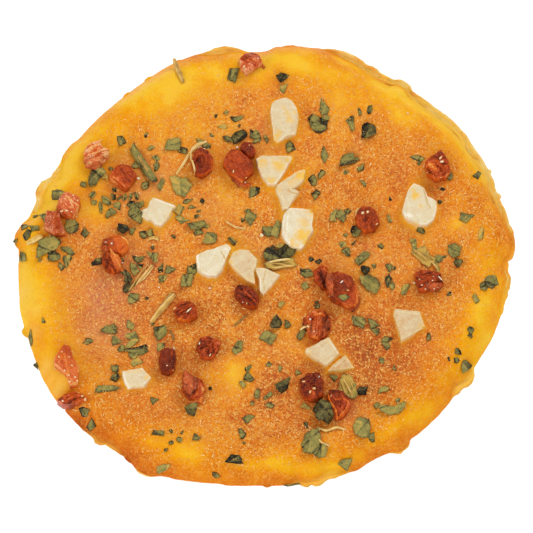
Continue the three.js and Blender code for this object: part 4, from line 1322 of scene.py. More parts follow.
def dice_surface(form, row, top, lines, seed):
    """Rings of the slab from foot to crown, its tone with painted light and shade, its amber, and its dust
    and highlights.
    """
    middle, ground, stands, radii, _ = form
    grain, crease, rough, hollow, facets = top
    tall = DICE_LOW * stands
    x, y, z, rise, share = dice_slab(form, rough, seed)
    above = unit(z / tall * 1.8 - 0.3)
    rng = np.random.default_rng(seed)
    ranges = ((0, 360), (0.3, 0.9), (0.15, 0.45), (-0.08, 0.08))
    small = [[rng.uniform(*limits) for limits in ranges] for _ in range(5)]
    drop, facet_shade = facet_cuts(x, y, radii.mean(), facets + small)
    u, v = turned(x, y, -radians(grain))
    u, v = u + seed, v + 0.35 * z
    folds = ridged_noise(u / 2.2, v, 1.3, seed + 33)
    fine = ridged_noise(u / 2, v, 0.6, seed + 30, layers=2)
    wrinkles = ridged_noise(u / 1.5, v, 0.36, seed + 37, layers=2)
    lumps = layered_noise(x + seed, y + 0.6 * z, 0.6, seed + 35, layers=2)
    curl = 0.25 * layered_noise(x + 3 * seed, y, 3.0, seed + 36)
    dish = hollow * unit(1 - (share / 0.62) ** 2)
    small_folds = (0.05 + 0.3 * crease) * fine + 0.04 * wrinkles
    z = z + above * (curl - drop - dish - crease * 1.2 * folds - small_folds + rough * lumps)
    z = np.maximum(z, np.minimum(rise, 0.3 * tall))
    squeeze = 1 - 0.04 * layered_noise(x + z + seed, y - z, 0.9, seed + 31, layers=2)
    rim = bell(share - DICE_BROW, 0.05)
    # Painted shade: darker in the valleys of the folds, on facets that face away, and down the side
    fold_shade = 0.35 * unit(folds) * min(1, 5 * crease)
    tone = row[1] + above * (facet_shade - fold_shade) - 0.1 * (1 - above)
    # Painted highlight: a broken light line along the rim
    lit = rim * unit(0.5 + 1.5 * soft_noise(x / 0.9 + seed, y / 0.9, seed + 38))
    # Painted shade in the valleys of the fine wrinkles, painted light on the crumbly lumps
    tone = tone - min(1, 8 * crease) * (0.12 * fine + 0.09 * wrinkles) + 0.5 * rough * lumps + 0.2 * lit
    # Painted shade in the hollow of the top
    tone = tone - 0.1 * dish + 0.07
    amber = row[2] + 0.35 * rim * above + 0.3 * soft_noise(x / 1.2 + seed, y / 1.2, seed + 32)
    # Painted highlight on crests and painted shade in grooves, where the lines lie
    for _, half, line_rise, painted_light, more_amber, marks in lines:
        weight = above * near_marks(x, y, middle, marks, half, ground + tall)
        z, tone, amber = z + line_rise * weight, tone + painted_light * weight, amber + more_amber * weight
    crests = unit(1.3 * np.maximum(-folds, -fine) - 0.35)
    # Pale dust on the crests of crumbly dices, and a painted highlight along the rim of the paler ones
    dust = unit(4 * rough) * crests + 0.5 * lit * unit(row[1] - 0.4)
    dust = above * (row[1] > 0.45) * dust
    position = np.dstack([x * squeeze + middle[0], y * squeeze + middle[1], z + ground])
    return position, tone, unit(amber), unit(dust)


# %% Build the dices
for i, (form, row, dice_top) in enumerate(zip(dice_forms, DICES, DICE_TOPS), start=1):
    lines = [line for line in DICE_LINES if line[0] == i]
    rings, tone, amber, dust = dice_surface(form, row, dice_top, lines, 200 + i)
    vertices, faces = closed_stack(rings)
    add_piece(
        f"dried_dice_{i:02d}", vertices, faces, dice_finish, "red_dice", [f"red_dice_{i:02d}"],
        tone=with_poles(tone), amber=with_poles(amber), dust=with_poles(dust),
    )

# %% [markdown]
# ## Thin sheets: dried herb scraps and flaps of dice skin
# Rubbed dried leaf breaks into flat, angular scraps of one to six millimetres, olive grey, some rolled
# or crumpled; painted shade darkens their edges and folds. A scrap is a set of rings drawn in from its
# torn outline, bent to an arc across its length, and laid over whatever is under it as a thin closed
# sheet. A flat plane would be simpler, but it has no edge and vanishes from the side. The large ones
# have their corners read off the photograph.

# %% Leaves with their own outlines
# Heading of the fold in degrees, bend (0 flat to 2 rolled), tone (0 black to 1 straw); corners
LEAVES = rows_of("""
-40,.3,.58|169,176 173,189 177.3,194.8 184,197.3 192.3,185.7 186.5,178.2 175.7,176.5;
-60,1.5,.5|129.5,150 135,160 143,172 151,182 156,184 157,179 148,166 140,155 134,146.5;
30,.6,.36|262.5,253.9 264,257.4 266,261.2 274,260.4 281,259.4 276,250.4 273,245.9 267,248.4;
-20,.7,.26|274,250.4 277.5,254.4 281,258.4 285,258.9 292,256.9 296.5,251.9 292,247.9 285,245.9 280,248.9;
-15,.4,.95|274,246.4 280,248.4 285,244.9 281,243.6;
5,.8,1|264.5,264.4 265,267.4 273,271.4 281,268.4 291,267.4 297.5,265.4 293.5,262.4 293.5,258.9 286,259.4
273,261.9;
-35,.6,.92|410.5,252 413,254.5 417,258 422,263 428.5,267.5 433,263 435,259 429,254.5 424.5,247 415,249.5;
-65,.9,.92|432,258 435,264 435.5,269 437,273 439,272.5 439.5,268 436,260;
80,.3,.55|409.5,239 411.5,245 412.5,250.5 417,249 416.5,245 416,239;
10,.3,.55|433,257.5 436,259.5 439,263 443,259.5 447,256 437,255;
-60,.4,.62|101.4,196 102.4,202.5 109.4,206 111.4,205 109.4,198.5 106.4,197.5;
-80,.4,.5|99.9,201 98.4,206 99.4,211.5 101.9,214 102.9,208 101.9,204;
-40,.3,.65|112.9,203.5 113.9,206.5 116.9,209 120.4,210 120.9,205 119.4,201.5;
-30,.6,.34|105.4,214 105.4,216.5 107.4,218.5 111.4,215.5 115.9,214.5 116.9,212 111.4,207.5 108.4,209.5;
0,.6,.3|110.4,194 112.4,200 115.9,199 115.9,195;
0,.5,.35|112,188.5 113,192 116.4,192 116,188;
30,.5,.32|117.4,198 116.4,201 120.4,199 122.4,195;
70,.4,.58|121.9,196 121.9,199 124.4,201 127.4,197 125.9,193.5;
60,.4,.72|129.4,194 128.4,199 129.4,201 132.4,197 132.9,192.5;
-80,.5,.36|133.4,192 135.4,199 138.9,200 138.4,194;
20,.5,.6|88.5,195.5 91,198.5 93.9,197.5 96.1,194 94.4,192 91,192.6;
0,.4,.62|90.5,199 92.4,205 96.4,204.5 96.9,201;
-10,.5,.42|131.8,255 133.8,260 137.8,263 142.3,261 145.3,256.5 137.3,256.5;
-50,.5,.45|146.3,252 150.8,258 154.8,263.5 157.8,264 157.8,252.5 151.8,253.5;
-60,.5,.52|129.8,267 131.8,272 134.8,276 139.8,271 135.8,264.5 130.8,262.5;
0,.4,.66|136.8,264 139.8,268.5 142.8,267.5 143.8,263.5;
-50,1.1,.27|119.3,272.5 122.8,274.5 125.8,277 124.3,280.5 126.8,283.5 131.8,283 132.8,280 129.8,273
125.8,270.5;
40,.7,.2|123.8,285 123.8,291 126.8,293.5 133.8,286 138.8,281 131.8,283;
90,.6,.32|158,268 158.5,272.5 163,272 163.2,262.5;
90,.7,.4|158.8,275 159.5,282.5 164.5,281.5 164,276;
-35,.5,.55|359.7,276.2 360.5,282.8 366.3,289.5 375.5,294.5 380.5,287 377.2,279.5 369.7,274.5;
80,.5,.95|343.2,374 339,380.7 338.2,392.3 345.7,395.7 350.7,398.2 357.3,395.7 355.7,385.7 351.5,376.5;
60,1.6,.22|313.5,406.2 315.2,413.7 316.8,422 326,424.5 331.8,417 331.8,407 322.7,402.8;
-70,.8,.55|360.7,417 354.8,420.3 352.3,426.2 354.8,433.7 364,438.7 369,436 369,428.7 369,419.5;
75,.9,.55|304.8,432.3 301.5,443.2 303.2,452.3 310.7,453.2 319.8,444 320.7,437.3 317.3,429;
30,.7,.66|316,444 311,453 318,456.5 325,455 327,448 322,443;
70,.3,.48|321.4,97.8 319.2,110.4 322.4,114.4 327.4,114.4 329.6,108.4;
10,.6,.5|308,117.4 309.4,122.6 318.9,121.4 319.4,117.4 311.9,113.5;
10,.5,.56|319.4,117.4 321.4,121.4 328.9,120.4 329.6,116.4 326.4,114.9;
10,.6,.38|308.6,123.4 311.4,127.8 317.4,132.6 321.4,132.6 327.2,128.4 327.6,121.4 317.4,120.9;
-70,.4,.5|346.2,120.4 348.4,124 352,131 354.6,131 354.2,116.2 350.4,116.2;
60,.4,.58|329.3,218.4 329.8,221.6 336.3,221.4 335.8,217.4 337.8,212.4 336.8,208.2 330.8,213.4;
-60,.6,.42|336.8,212.4 335.8,216.4 338.8,219.4 343.8,224.1 345.8,219.4 346.5,213.9 340.3,210.2;
20,.8,.42|344.3,210.4 344.8,213.4 347.8,214.6 351,211.4 347.8,208.2;
60,.7,.4|350.6,231.4 352.8,236.1 357.3,237.6 361.5,231.4 355.8,225.7 352.3,226.4;
10,.4,.78|338.6,242.9 340.8,247.1 345.3,246.6 346.5,242.4 342.3,240.7;
40,.5,.36|350.8,243.9 353.3,245.6 356.8,239.4 353.8,242;
30,.6,.48|40,241 36.7,250 37.5,260.8 43,256 50,252.5 58.3,249 59.2,240 50.8,237.5;
10,.6,.42|49,252 48,261 54,262 60,260 61,255 56,251;
70,1,.42|130.3,203.8 128.7,215.3 133.7,222 141.2,225.3 142.8,217 139.5,210.3 135,205;
50,1.2,.32|92.3,170 89.8,177.3 88.2,186.5 95.7,185.7 99,179 105.7,173 102,168;
35,1.5,.22|231,139 232.8,143.2 242,140.7 247,134 244.5,129.8 235.3,133.2;
-20,1.2,.42|222,137 226,141 233,142 232,138 226,135;
10,.9,.62|376.5,405 379,411 388,414.5 398,413 406.5,406 403,402.5 394,407 384,405;
20,.4,.56|66,222 65.5,231 71,233.5 78,231 79.5,224 73,220;
45,.8,.58|448,246 448,254 453,258 459,256 461,247 456,244;
30,.7,.55|484,281 486,288 492,288 498,283 495,276 488,276;
10,.5,.46|479,284 480,290 486,291 488,286 484,282
""")

# %% Scraps by place and size
# Column, row, length and width in pixels, turn in degrees, bend, tone
LARGE_SCRAPS = groups("""
348,160,18,15,50,1,.4 140,350,24,10,5,.4,.4 368,131,16,14,30,1.4,.3 109,388,24,8,17,.5,.65
187,281,17,13,60,.5,.55 211,238,15,13,20,.3,.6 362,258,17,13,10,.5,.38 174,144,17,12,10,.3,.6
160,332,15,13,45,.5,.5 197,226,18,9,10,1.4,.42 235,458,16,12,20,.6,.24 282,386,17,9,30,1.5,.3
110,329,16,11,10,.4,.38 276,230,18,9,80,.8,.7 133,337,15,10,-10,.4,.6 192,408,14,10,80,1.2,.52
306,273,15,9,-10,.5,.4 238,347,13,11,30,.4,.5 269,337,13,11,-30,.8,.6 344,463,13,10,20,.4,.6
359,321,14,10,-20,.5,.5 58,194,13,10,-15,.4,.6 276,323,14,9,70,1.3,.26 233,73,14,9,75,.4,.5
133,298,13,10,40,.5,.48 250,218,13,10,60,.8,.62 68,251,14,8,-10,.5,.45 254,191,13,9,75,.5,.5
465,218,13,9,-8,.4,.5 282,77,12,9,10,1.2,.15 248,417,12,8,15,.5,.5 159,432,13,8,20,.4,.5
465,366,13,9,60,.5,.5 405,289,13,7,75,1,.72 388,280,14,7,80,1.1,.2
""")
# Column, row, width and height in pixels, tone
SMALL_SCRAPS = groups("""
183,150,10,9,.55 324,154,8,16,.5 131,205,8,9,.26 139,205,9,7,.45 198,232,10,9,.5 181,219,13,8,.66
206,226,7,4,.66 192,271,10,10,.62 268,232,11,11,.5 365,270,10,8,.15 458,263,9,8,.2 132,343,14,9,.8
122,348,7,8,.64 137,361,11,7,1.25 133,355,10,8,.74 116,340,11,9,.78 116,377,9,9,.15 116,368,7,8,.5
161,347,9,10,.78 287,324,8,8,.3 371,437,9,9,.5 376,404,6,7,.62 397,400,5,6,.64 90,184,6,8,.95
83,185,6,7,.45 105,177,7,8,1.05 85,233,8,10,.5 121,140,9,10,.55 67,260,7,14,.45 62,267,6,8,.5
418,158,14,6,.45 478,174,10,9,.45 373,324,11,10,.62 375,331,9,7,.32 387,339,12,6,.5 386,345,7,9,.64
248,211,7,5,.5 256,135,10,9,.5 266,138,5,9,.7 290,147,10,11,.5 316,194,9,10,.5 321,174,8,10,.5
313,180,9,11,.6 283,88,9,8,.95 123,229,12,9,.05 98,262,9,9,.45 156,158,9,6,.72 156,166,6,11,.35
161,184,8,13,.5 145,185,8,9,.55 135,166,7,7,.6 170,270,11,8,.45 163,279,9,7,.98 301,334,8,13,.4
389,267,7,10,.5 392,286,6,9,.68 249,377,10,9,.5 248,368,6,9,.5 243,384,8,7,.85 257,393,5,10,.5
268,395,7,10,.5 270,404,8,6,.64 242,433,8,11,.64 180,439,6,6,.5 172,442,5,4,.5 197,437,8,7,.5
85,411,10,9,.45 92,425,9,9,.45 154,399,8,7,.5 216,474,8,4,.45 292,482,15,4,.45 164,467,13,5,.7
457,351,6,6,.5 456,360,6,5,.5 470,331,7,8,.45 475,299,7,10,.68 428,337,5,8,.5 362,390,9,8,.15
383,389,11,7,.68 381,360,6,6,.66 394,368,4,5,.5 347,252,9,9,.5 374,266,5,5,.56 381,246,6,6,.5
421,231,8,6,.5 364,183,8,5,.5 361,168,7,9,.5 346,172,6,4,.64 450,177,8,9,.36 442,189,6,3,.1 389,218,3,8,.7
481,234,5,14,1.15 237,118,13,6,.5 226,112,5,5,.66 223,126,9,5,1.3 370,110,5,9,.3 360,112,3,8,.5
24,226,7,8,.45 27,235,8,11,.34 35,228,9,7,.45 15,240,5,5,.5 35,215,6,4,.4 44,217,7,12,.4 22,257,7,12,.35
31,338,4,16,.4 37,364,4,8,.5 44,321,4,6,.5 89,341,8,8,.45 131,325,7,9,.62 306,424,4,7,.3 306,406,9,8,.85
334,377,9,6,.5 281,304,7,6,.76 305,286,8,9,.7 311,259,6,5,.3 318,261,7,5,.4 343,298,11,7,.6 317,306,6,5,.5
297,372,6,5,.66 280,368,4,7,.76 269,364,7,6,.5 143,235,8,8,.45 150,233,6,8,.74 187,201,11,5,.5
179,210,9,12,.8 232,241,9,8,.5 207,146,8,6,.6 199,140,8,4,.76 257,140,9,9,.62 252,133,4,8,.4
59,243,4,8,.52 102,175,10,8,1.1 96,168,8,6,.5 132,231,7,7,.45 150,148,7,5,.64 192,207,8,5,.6
""")
SPECK_COUNT = 46  # specks too small to place one by one, thickest where the scraps lie

# %% Finish of the scraps
HERB_STOPS = [
    (0.0, "#221C12"), (0.15, "#3F371F"), (0.3, "#60562F"), (0.45, "#7C733E"),
    (0.6, "#928846"), (0.8, "#AA974C"), (1.0, "#D0A84E"),
]
# Dried leaf: papery and nearly matt, olive grey, straw yellow on its ribs, with painted shade at its edges
# and folds
HERB_LOOK = {"Roughness": 0.55, "Specular IOR Level": 0.2}
herb_finish = tinted("dried_herb_leaf", HERB_STOPS, 0.3, 0.9, 0.15, HERB_LOOK)

# %% Outline and bend of a sheet


def settled(across, down):
    """Where marks lie on whatever is under them: placed at its height, which is found in three steps."""
    height = np.full(np.shape(across), MIDDLE_THICK + 1.0)
    for _ in range(3):
        x, y = place(across, down, height)
        height = 0.5 * (height + cover_height(x, y))
    return x, y


def torn_outline(longer, shorter, turn, rng):
    """Corners, in mm about their middle, of a torn flat bit: four to six, uneven in turn and reach."""
    count = rng.integers(4, 7)
    angle = (np.arange(count) + rng.uniform(-0.4, 0.4, count)) * 2 * pi / count
    reach = rng.uniform(0.5, 1.25, count)
    u, v = reach * np.cos(angle), reach * np.sin(angle)
    u = (u - u.mean()) / np.ptp(u) * 1.1 * longer * PIXEL
    v = (v - v.mean()) / np.ptp(v) * 1.1 * shorter * PIXEL
    return np.stack(turned(u, v, turn), axis=1)


def sheet_rings(middle, corners, heading, bend, per_side, shares, seed):
    """Rings of a thin sheet, without its height: side points, drawn in by the shares, bent to an arc."""
    rng = np.random.default_rng(seed)
    after = np.roll(corners, -1, axis=0)
    if (corners[:, 0] * after[:, 1] < after[:, 0] * corners[:, 1]).mean() > 0.5:
        corners = corners[::-1]
        after = np.roll(corners, -1, axis=0)
    part = np.arange(per_side)[None, :, None] / per_side
    rim = (corners[:, None] * (1 - part) + after[:, None] * part).reshape(-1, 2)
    rim = rim * (1 + 0.04 * rng.uniform(-1, 1, (len(rim), 1)))
    rim = rim * (1 + 0.13 * layered_noise(rim[:, :1] + seed, rim[:, 1:], 0.55, seed + 2, layers=2))
    u, v = turned(*rim.T, -heading)
    half_u, half_v = np.abs(u).max(), np.abs(v).max()
    u, v = shares[:, None] * u, shares[:, None] * v
    arc = bend * v / half_v + 1e-9
    v = half_v * np.sin(arc) / sin(bend)
    rise = half_v * (1 - np.cos(arc)) / sin(bend)
    tallest = half_v * (1 - cos(bend)) / sin(bend)
    rise = tallest - rise if rng.uniform() < 0.6 else rise
    rise = rise + rng.uniform(0, 0.3) * half_u * (u / half_u) ** 2
    crinkle = 0.26 * layered_noise(u + seed, v, 0.8, seed, layers=3)
    rib = 0.2 * bell(v, 0.12) * (half_u > 1.9)
    side_ribs = 0.12 * unit(np.cos((np.abs(v) * 0.8 + u) * 6.0) * 3 - 2) * (half_u > 1.9)
    # Painted shade: one side of each fold is darker, and a dark line runs along it
    fold, groove = np.zeros_like(u), np.zeros_like(u)
    for _ in range(2):
        way = rng.uniform(0, 2 * pi)
        beyond = (u / half_u) * cos(way) + (v / half_v) * sin(way) - rng.uniform(-0.1, 0.6)
        fold = fold + rng.uniform(-0.2, 0.32) * unit(beyond * 10)
        groove = groove + rng.uniform(0, 0.45) * bell(beyond * sqrt(half_u * half_v), 0.14)
    x, y = turned(u, v, heading)
    # Tone marks: lighter ribs, painted shade of the folds, and painted light and shade following the crinkles
    marks = rib + side_ribs - fold - groove + 0.9 * crinkle
    return np.dstack([middle[0] + x, middle[1] + y, rise + crinkle - 0.5 * fold, marks])


# %% Lay a sheet on the object
SHEET_THICK, SHEET_LIFT = 0.12, 0.16  # mm thick, and mm above what it lies on


def laid_sheet(bent, tone, shares):
    """Closed sheet from bent rings: laid on what is under it, with painted shade at its edges and on its
    underside.
    """
    x, y, rise, marks = np.moveaxis(bent, -1, 0)
    cover = height_under((x[0].mean(), y[0].mean()), x, y)
    z = np.maximum(cover, 0.45 * cover + 0.55 * cover.mean()) + SHEET_LIFT + rise
    z = np.maximum(z, cover + np.maximum(crust_relief(x, y, 0.6), 0) + 0.06)
    upper = np.dstack([x, y, z])
    lower = upper - np.array([0, 0, SHEET_THICK])
    vertices, faces = closed_stack(np.concatenate([lower, upper[::-1]]))
    # Painted shade: darker towards the edge, and darker again on the underside
    shade = tone + 0.06 - 0.3 * shares[:, None] ** 14 + marks
    return vertices, faces, with_poles(np.concatenate([shade - 0.1, shade[::-1]]))


# %% Sheets with listed corners, and torn ones at random
FINE_SHARES = np.array([0.15, 0.32, 0.48, 0.62, 0.75, 0.86, 0.94, 1.0])
COARSE_SHARES = np.array([0.35, 0.7, 1.0])
FINE_FROM = 11  # pixels of length above which a scrap gets the finer rings


def sheets_of(leaves):
    """Sheets whose corners are listed."""
    built = []
    for seed, (heading, bend, tone, corners) in enumerate(leaves, start=300):
        across, down = np.array(corners).T
        middle = settled(across.mean(), down.mean())
        local = np.stack([across - across.mean(), (down.mean() - down) / sin(VIEW_ELEVATION)], 1) * PIXEL
        bent = sheet_rings(middle, local, radians(heading), bend, 7, FINE_SHARES, seed)
        built.append(laid_sheet(bent, tone, FINE_SHARES))
    return built


def torn_sheets():
    """Sheets with random torn outlines at the places read off the photograph, and specks round them."""
    rng = np.random.default_rng(17)
    across, down, wide, high, tone = np.array(SMALL_SCRAPS).T
    count = len(tone)
    turn = np.where(high > wide, 90, 0) + rng.uniform(-28, 28, count)
    bend = np.where(tone < 0.25, rng.uniform(0.9, 1.5, count), rng.uniform(0.1, 0.7, count))
    longer, shorter = np.maximum(wide, high), np.minimum(wide, high)
    small = np.column_stack([across, down, longer, shorter, turn, bend, tone])
    rows = np.vstack([LARGE_SCRAPS, small])
    specks = rows[rng.integers(0, len(rows), SPECK_COUNT)]
    specks[:, :2] += rng.normal(0, 20, (SPECK_COUNT, 2))
    near_edge = inward_of(*place(*specks[:, :2].T, MIDDLE_THICK)) < 4
    specks[:, :2] += near_edge[:, None] * ([264, 266] - specks[:, :2]) * 0.4
    speck_x, speck_y = place(*specks[:, :2].T, MIDDLE_THICK + 1)
    specks[:, 2:5] = rng.uniform([3, 3, 0], [5, 5, 180], (SPECK_COUNT, 3))
    specks[:, 6] = rng.uniform(0.1, 0.7, SPECK_COUNT)
    specks = specks[is_bare(speck_x, speck_y, 1.15)]
    built = []
    for seed, row in enumerate(np.vstack([rows, specks]), start=400):
        across, down, long, short, degrees, bend, tone = row
        per_side, shares = (5, FINE_SHARES) if long > FINE_FROM else (3, COARSE_SHARES)
        heading = radians(degrees)
        corners = torn_outline(long, short, heading, rng)
        bent = sheet_rings(settled(across, down), corners, heading, bend, per_side, shares, seed)
        built.append(laid_sheet(bent, tone + rng.uniform(-0.06, 0.06), shares))
    return built


def add_sheets(name, built, finish, slot, **attributes):
    """One piece out of many sheets, with the same number everywhere for each further attribute."""
    vertices, faces = joined(built)
    tone = np.concatenate([sheet[2] for sheet in built])
    same = {label: np.zeros(len(vertices)) + value for label, value in attributes.items()}
    add_piece(name, vertices, faces, finish, slot, tone=tone, **same)
    print(name + ":", len(built), "sheets,", len(faces), "faces")


# %% Add the scraps and the flaps
# Flaps of skin that came loose from a dice, in the same kind of rows, with amber after the tone
FLAPS = rows_of("""
-65,.9,.54,1|110,248 111,257 114,266 118,272 123,270 122,262 119,253 115,247;
0,1.3,.64,1|187,393 188,399.5 202.5,400 204,393.6 196,391.5;
15,.8,.5,.7|231,177 238,183 247,185 253,180 246,179 238,175;
-30,.8,.52,.3|425,283 427,291 437,290 443,284 436,284;
-60,1.1,.4,.3|325,274 326,286 330,296 334,299 333,287 331,274;
70,1,.66,.9|350,279 353,290 354,302 357,303 358,290 354,279;
-50,1,.6,.8|309,333 316,340 325,338 328,333 320,335;
-40,.6,.7,.9|258,57.5 262,61.5 265.6,65.4 263.6,66.8 259.4,62.5;
15,.6,.68,.4|84,162 86,167.5 98,168.5 103,163 107.5,158.5 100,158 92,161;
60,.6,.9,.5|100,152 103,158 109,151 107,148.5;
80,.8,.42,.6|103,240 102,250 108,254 111,246 109,238;
-65,.8,.52,.3|186,372 182.5,380 184,390 190,396 196,391 199,382 193,375;
-40,.6,.68,.6|344,304 352,309 359,303 360,294 356,296 350,302;
80,.8,.45,.4|303,318 302,328 307,331 310,321 308,314
""")

add_sheets("herb_scraps", sheets_of(LEAVES) + torn_sheets(), herb_finish, "crust")
flaps = sheets_of([(heading, bend, tone, corners) for heading, bend, tone, _, corners in FLAPS])
flap_amber = np.concatenate([np.full(len(flap[0]), row[3]) for flap, row in zip(flaps, FLAPS)])
add_sheets("skin_flaps", flaps, dice_finish, "red_dice", amber=flap_amber, dust=0.1)

# %% [markdown]
# ## Stems, straws and threads
# Between the scraps lie bits of stem: pale straws, a forked twig, thin curled threads. Each is a flat
# oval carried along a smooth curve through a few marks, thinner at its ends, with stripes along it. A
# bevelled curve could give the form, but a mesh also keeps the stripes.

# %% Paths of the straws and threads
# Width in pixels, how far its middle stands off what is under it in mm, tone; marks of the path
STRAWS = rows_of("""
5,.3,.75|173.5,61 178,71 183,83;
3,.5,.95|207,141 198,146 191,152 184,163 176,175;
2,.3,.85|191,151 191,160 194,168 195,175;
1.8,.8,.95|205,141.5 198,144 192,149 190,155;
1.5,.3,.95|359.4,207.6 356.6,211 355.8,216;
6,.7,.88|175,294 168,303 160,312 151,323;
3,.6,.55|172,292 165,302 158,314;
1.8,.9,.7|149,263.5 140.3,274 133.5,285 129,291;
2.2,1.1,.9|152.8,264.5 142.5,277.5 136,285;
1.6,.9,.85|153.6,266.5 146,277 139.5,282.5;
6,.4,.8|43,237 35,241 27,246;
2.5,1,.95|264,264 274,261.8 286,260 294,259.4;
2.5,1,.55|264,265 276,264 288,265.5 297,264.5;
2.5,1,.85|266,267.5 275,268.6 286,267 297,265.6;
1.4,1.4,.5|411,252.5 420,254 428,257.5 435,261;
2,.2,.5|247,315 241,320 234,326;
3,.4,.9|317,427 326,430 336,427 345,429;
2,.8,.95|320,427 317,433 320,441 329,445;
2,.3,.9|225,221 235,227 246,229;
3.5,.3,.75|149,239 154,238 159,240;
2.5,.4,1|300,331 305,328 309,328;
2,.2,.4|170,330 173,335 174,340;
2.4,2.2,.7|132,148 140,160 147,171 153,181;
1.6,.9,.85|341.5,376 346,384 350,392 352.5,397;
1.2,.8,.3|339,381 342,389 345.5,396;
1.2,.8,.6|347,376 351,384 354,391;
1.6,1.3,.75|413,249.5 421,255.5 429,262.5;
1.6,1,.8|430.5,261 435,266.5 437.5,271
""")

# %% Finish of a straw
STRAW_STOPS = [(0.0, "#5A4420"), (0.3, "#8E6C34"), (0.5, "#B88C42"), (0.75, "#E4B85E"), (1.0, "#F6DEA0")]
# Dry stem: straw, striped along its fibres, with hardly any shine
straw_finish = tinted("dry_stem", STRAW_STOPS, 0.3, 0.3, 0.05, {"Roughness": 0.5})

# %% Rings of a straw
STRAW_STEPS, STRAW_SIDES = 26, 12


def smooth_path(points, steps):
    """A Catmull-Rom curve through the points, its ends carried on, at even steps of its marks."""
    points = np.vstack([2 * points[0] - points[1], points, 2 * points[-1] - points[-2]])
    at = np.linspace(0, len(points) - 3 - 1e-6, steps)
    k = at.astype(int)
    t = (at - k)[:, None]
    p0, p1, p2, p3 = (points[k + n] for n in range(4))
    cubic = (2 * p0 - 5 * p1 + 4 * p2 - p3) * t**2 + (3 * (p1 - p2) + p3 - p0) * t**3
    return 0.5 * (2 * p1 + (p2 - p0) * t + cubic)


def straw_rings(marks, width, arch, seed):
    """Flat oval rings along the path; the middle arches up and the width tapers to both ends."""
    x, y = settled(*np.array(marks).T)
    path = smooth_path(np.stack([x, y], axis=1), STRAW_STEPS)
    part = np.linspace(0, 1, STRAW_STEPS)
    along = np.gradient(path, axis=0)
    along /= np.linalg.norm(along, axis=1, keepdims=True)
    left = np.stack([-along[:, 1], along[:, 0], 0 * part], axis=1)
    half = width * PIXEL / 2 * (0.5 + 0.5 * np.sin(pi * part) ** 0.4)
    half = half * (1 + 0.12 * layered_noise(part * 9, part * 0, 1.0, seed + 500, layers=2))
    cover = cover_height(path[:, 0], path[:, 1])
    z = np.maximum(cover, cover.mean()) + 0.15 + half * 0.5 + arch * np.sin(pi * part) * 0.5
    lap = np.linspace(0, 2 * pi, STRAW_SIDES, endpoint=False)
    middle = np.column_stack([path, z])
    sideways = left[:, None] * (half[:, None] * np.cos(lap))[..., None]
    upward = np.array([0, 0, 1]) * (0.55 * half[:, None] * np.sin(lap))[..., None]
    return middle[:, None] + sideways + upward


def striped(rings, tone, seed):
    """Tone of a straw: stripes by the side, that wander a little along it."""
    steps, sides, _ = rings.shape
    rng = np.random.default_rng(seed + 520)
    stripe = rng.uniform(-0.34, 0.12, sides)[None, :]
    return tone + stripe + 0.06 * np.sin(np.arange(steps)[:, None] * 0.7 + seed)


# %% Build the straws and threads
straws, tones = [], []
for seed, (width, arch, tone, marks) in enumerate(STRAWS):
    rings = straw_rings(marks, width, arch, seed)
    straws.append(closed_stack(rings))
    tones.append(with_poles(striped(rings, tone, seed)))
vertices, faces = joined(straws)
add_piece("straws", vertices, faces, straw_finish, "crust", tone=np.concatenate(tones))

# %% [markdown]
# ## Pale crumbs
# Crumbs of dough and seed lie on the dices and on the crust: small lumps, stamped like the flecks, at
# places read off the photograph.

